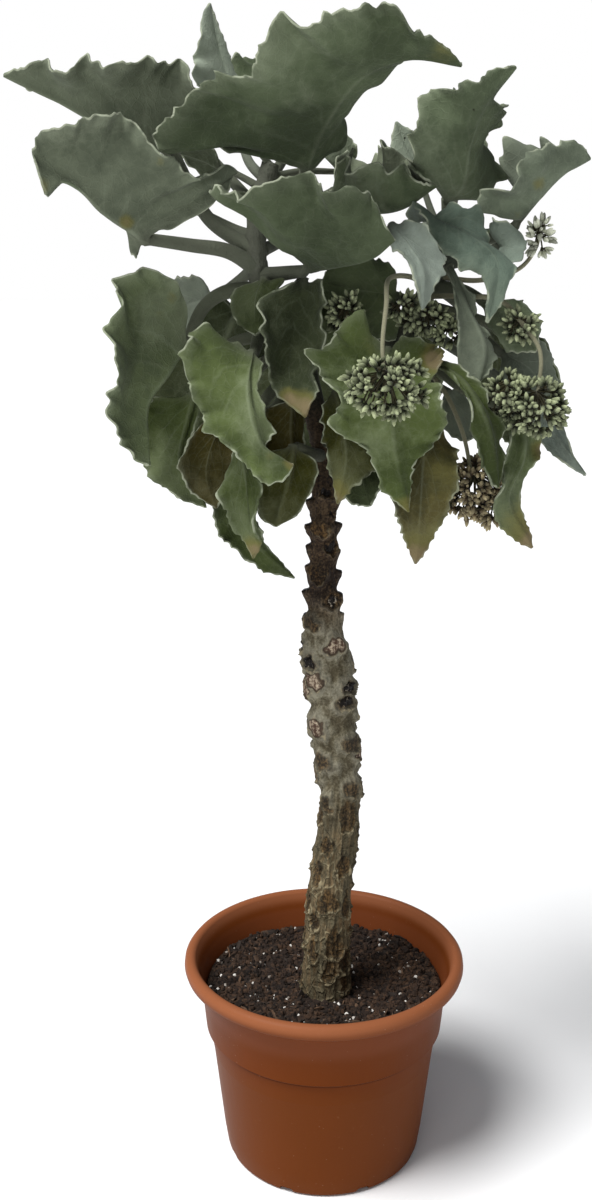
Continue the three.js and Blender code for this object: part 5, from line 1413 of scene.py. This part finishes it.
class FELT_OT_buds(bpy.types.Operator):
    """Set each cluster of buds on its branching stalk"""
    bl_idname = "felt.buds"
    bl_label = "Bud clusters"

    def execute(self, context):
        sizes = context.scene.felt_bud
        finishes = {tint: bud_material(tint, *ends) for tint, ends in BUD_COLOURS.items()}
        for number, cluster in enumerate(BUD_CLUSTERS):
            rng = np.random.default_rng(BUD_SEED + number)
            shape = Shape()
            self.stalk(shape, cluster, sizes)
            for centre, size, buds in cluster["heads"]:
                self.head(shape, np.array(centre), np.array(size), buds, sizes, rng)
            place_in(shape.object("bud_cluster_" + cluster["name"]), "buds_" + cluster["name"],
                     finishes[cluster["tint"]])
        return {"FINISHED"}

    def stalk(self, shape, cluster, sizes):
        """The cluster's stalk, down to the middle of its first head."""
        line = Line([*cluster["stalk"], cluster["heads"][0][0]])
        places = np.linspace(0, 0.97, max(12, int(line.length / 4)))
        radius = sizes.stalk_radius / MM * (1.25 - 0.45 * places)
        shape.add_tube(line, places, radius, 10, bud=0, tip=1, tone=0)

    def head(self, shape, centre, size, buds, sizes, rng):
        """One head: clumps of buds over a flattened ball, each on a forked twig."""
        fork = centre + size * [0, 0, 0.45]
        clumps = max(3, int(buds * CLUMPS_PER_BUD))
        for clump in range(clumps):
            z = 1 - 2 * (clump + 0.5) / clumps
            flat, turn = math.sqrt(1 - z * z), clump * GOLDEN_ANGLE
            out = np.array([flat * math.cos(turn), flat * math.sin(turn), z])
            out = unit(out + rng.normal(0, 0.2, 3))
            middle = centre + out * size * rng.uniform(0.62, 0.84)
            bend = (fork + middle) / 2 + rng.normal(0, 1.5, 3)
            self.twig(shape, [fork, bend, middle], 0.7)
            leading = unit(out + rng.normal(0, 0.35, 3))
            for bud in range(rng.integers(6, 10)):
                aside = unit(np.cross(leading, rng.normal(0, 1, 3)))
                spread, step = (rng.uniform(0.45, 1.7), 1.6) if bud else (0, 0)
                lean = unit(leading + aside * spread)
                self.bud(shape, middle + aside * step, lean, sizes, rng)

    def bud(self, shape, base, lean, sizes, rng):
        """One bud on its short stalk."""
        body, quads, fans = bud_body(sizes)
        up = np.clip(body[:, 2] / sizes.bud_length, 0, 1)
        foot = base + lean * rng.uniform(0.4, 2.6)
        turned = body * rng.uniform(0.7, 1.15) @ pointing(lean).T
        shape.add(turned + foot * MM, quads, fans, bud=1, tip=up, tone=rng.uniform(-1, 1))
        self.twig(shape, [base - lean * 2, base, foot], 0.55)

    def twig(self, shape, points, radius):
        """A thin stalk through three points."""
        shape.add_tube(Line(points), np.linspace(0, 1, 4), radius, 4, bud=0, tip=0, tone=0)


def bud_material(name, low, high):
    """Felted buds, paler at their tips and dark at their bases partly as painted shade, on thin
    stalks; the twigs among the buds are painted dark as shade.
    """
    m = Nodes("buds " + name)
    bud, tip, tone = m.value("bud"), m.value("tip"), m.value("tone")
    grain = m.noise(900, 3, 0.6)
    felt = m.mix(low, high, (tip + (grain - 0.5) * 0.5).rise(0.05, 0.9))
    felt = m.shade(felt, 0.8 + tone * 0.42 + (grain - 0.5) * 0.3)
    # Painted shade: the twigs among the buds are dark, the cluster's stalk pale.
    stalk = m.mix("37341f", m.shade("8b8970", 0.6 + grain * 0.6), tip)
    return m.finish(m.mix(stalk, felt, bud), 0.85, grain, 0.0004, Sheen_Weight=0.08,
                    Specular_IOR_Level=0.15)


# Stage

CAMERA_PLACE = (-0.028, -1.171, 0.875)
LOOKING_DOWN = math.radians(14.3)
LENS = {"lens": 38.61, "sensor_width": 36, "clip_start": 0.05}
SUN_FROM = (-0.6, -0.4, 1.3)
SUN = {"energy": 3.7, "angle": math.radians(28)}
PANEL_PLACE, PANEL_AIM = (-0.7, -2.2, 1.2), (0, 0, 0.7)
PANEL = {"energy": 9, "size": 1.4}
SKY_COLOUR, SKY_STRENGTH = "f4f8ff", 0.18
FLOOR_RADIUS = 40


class FELT_OT_stage(bpy.types.Operator):
    """Set the pale floor, the lights and the camera"""
    bl_idname = "felt.stage"
    bl_label = "Stage"

    def execute(self, context):
        self.floor(context)
        self.sky(context)
        facing = Vector(SUN_FROM).to_track_quat("Z", "Y").to_euler()
        self.holder(bpy.data.lights.new("key", "SUN"), SUN, (0, 0, 0), facing)
        facing = (Vector(PANEL_AIM) - Vector(PANEL_PLACE)).to_track_quat("-Z", "Y").to_euler()
        self.holder(bpy.data.lights.new("front", "AREA"), PANEL, PANEL_PLACE, facing)
        facing = (math.pi / 2 - LOOKING_DOWN, 0, 0)
        camera = bpy.data.cameras.new("camera")
        context.scene.camera = self.holder(camera, LENS, CAMERA_PLACE, facing)
        context.scene.view_settings.view_transform = "Standard"
        return {"FINISHED"}

    def floor(self, context):
        """A pale floor, wide enough to reach the horizon."""
        bpy.ops.object.select_all(action="DESELECT")
        bpy.ops.mesh.primitive_circle_add(vertices=96, radius=FLOOR_RADIUS, fill_type="NGON")
        floor = context.object
        floor.name = "floor"
        m = Nodes("pale floor")
        floor.data.materials.append(m.finish(m.shade("ffffff", 0.97 + m.noise(3) * 0.02), 0.9))

    def sky(self, context):
        """A dim sky that lights softly from all sides, and shows white behind the plant."""
        world = bpy.data.worlds.new("soft white")
        world.use_nodes = True
        tree = world.node_tree
        dim = tree.nodes["Background"]
        dim.inputs["Color"].default_value = rgb(SKY_COLOUR)
        dim.inputs["Strength"].default_value = SKY_STRENGTH
        seen = tree.nodes.new("ShaderNodeBackground")
        seen.inputs["Color"].default_value = rgb("ffffff")
        rays = tree.nodes.new("ShaderNodeLightPath")
        either = tree.nodes.new("ShaderNodeMixShader")
        sources = (rays.outputs["Is Camera Ray"], dim.outputs[0], seen.outputs[0])
        for number, source in enumerate(sources):
            tree.links.new(source, either.inputs[number])
        tree.links.new(either.outputs[0], tree.nodes["World Output"].inputs["Surface"])
        context.scene.world = world

    def holder(self, data, settings, where, turn):
        """An object for a lamp or a camera, with its settings, place and turn."""
        for key, value in settings.items():
            setattr(data, key, value)
        made = bpy.data.objects.new(data.name, data)
        made.location = where
        made.rotation_euler = turn
        bpy.context.collection.objects.link(made)
        return made


# Panel and registration

class FELT_PT_panel(bpy.types.Panel):
    """Lists the steps that build the plant"""
    bl_idname = "FELT_PT_panel"
    bl_label = "Felt bush"
    bl_space_type = "VIEW_3D"
    bl_region_type = "UI"
    bl_category = "Felt bush"

    def draw(self, context):
        for group in GROUPS:
            box = self.layout.box()
            box.label(text=group.title())
            settings = getattr(context.scene, "felt_" + group)
            for name in settings.__annotations__:
                box.prop(settings, name)
        for step in STEPS:
            self.layout.operator(step.bl_idname)


GROUPS = {"pot": FeltPotSizes, "soil": FeltSoilSizes, "stem": FeltStemSizes,
          "leaf": FeltLeafSizes, "bud": FeltBudSizes}
STEPS = (FELT_OT_pot, FELT_OT_soil, FELT_OT_stem, FELT_OT_leaves, FELT_OT_buds, FELT_OT_stage)


def register():
    for group, settings in GROUPS.items():
        bpy.utils.register_class(settings)
        setattr(bpy.types.Scene, "felt_" + group, PointerProperty(type=settings))
    for entry in (*STEPS, FELT_PT_panel):
        bpy.utils.register_class(entry)


def unregister():
    for entry in (FELT_PT_panel, *reversed(STEPS)):
        bpy.utils.unregister_class(entry)
    for group, settings in GROUPS.items():
        delattr(bpy.types.Scene, "felt_" + group)
        bpy.utils.unregister_class(settings)


def main():
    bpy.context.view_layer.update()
    register()
    bpy.ops.felt.pot()
    bpy.ops.felt.soil()
    bpy.ops.felt.stem()
    bpy.ops.felt.leaves()
    bpy.ops.felt.buds()
    bpy.ops.felt.stage()


if __name__ == "__main__":
    main()
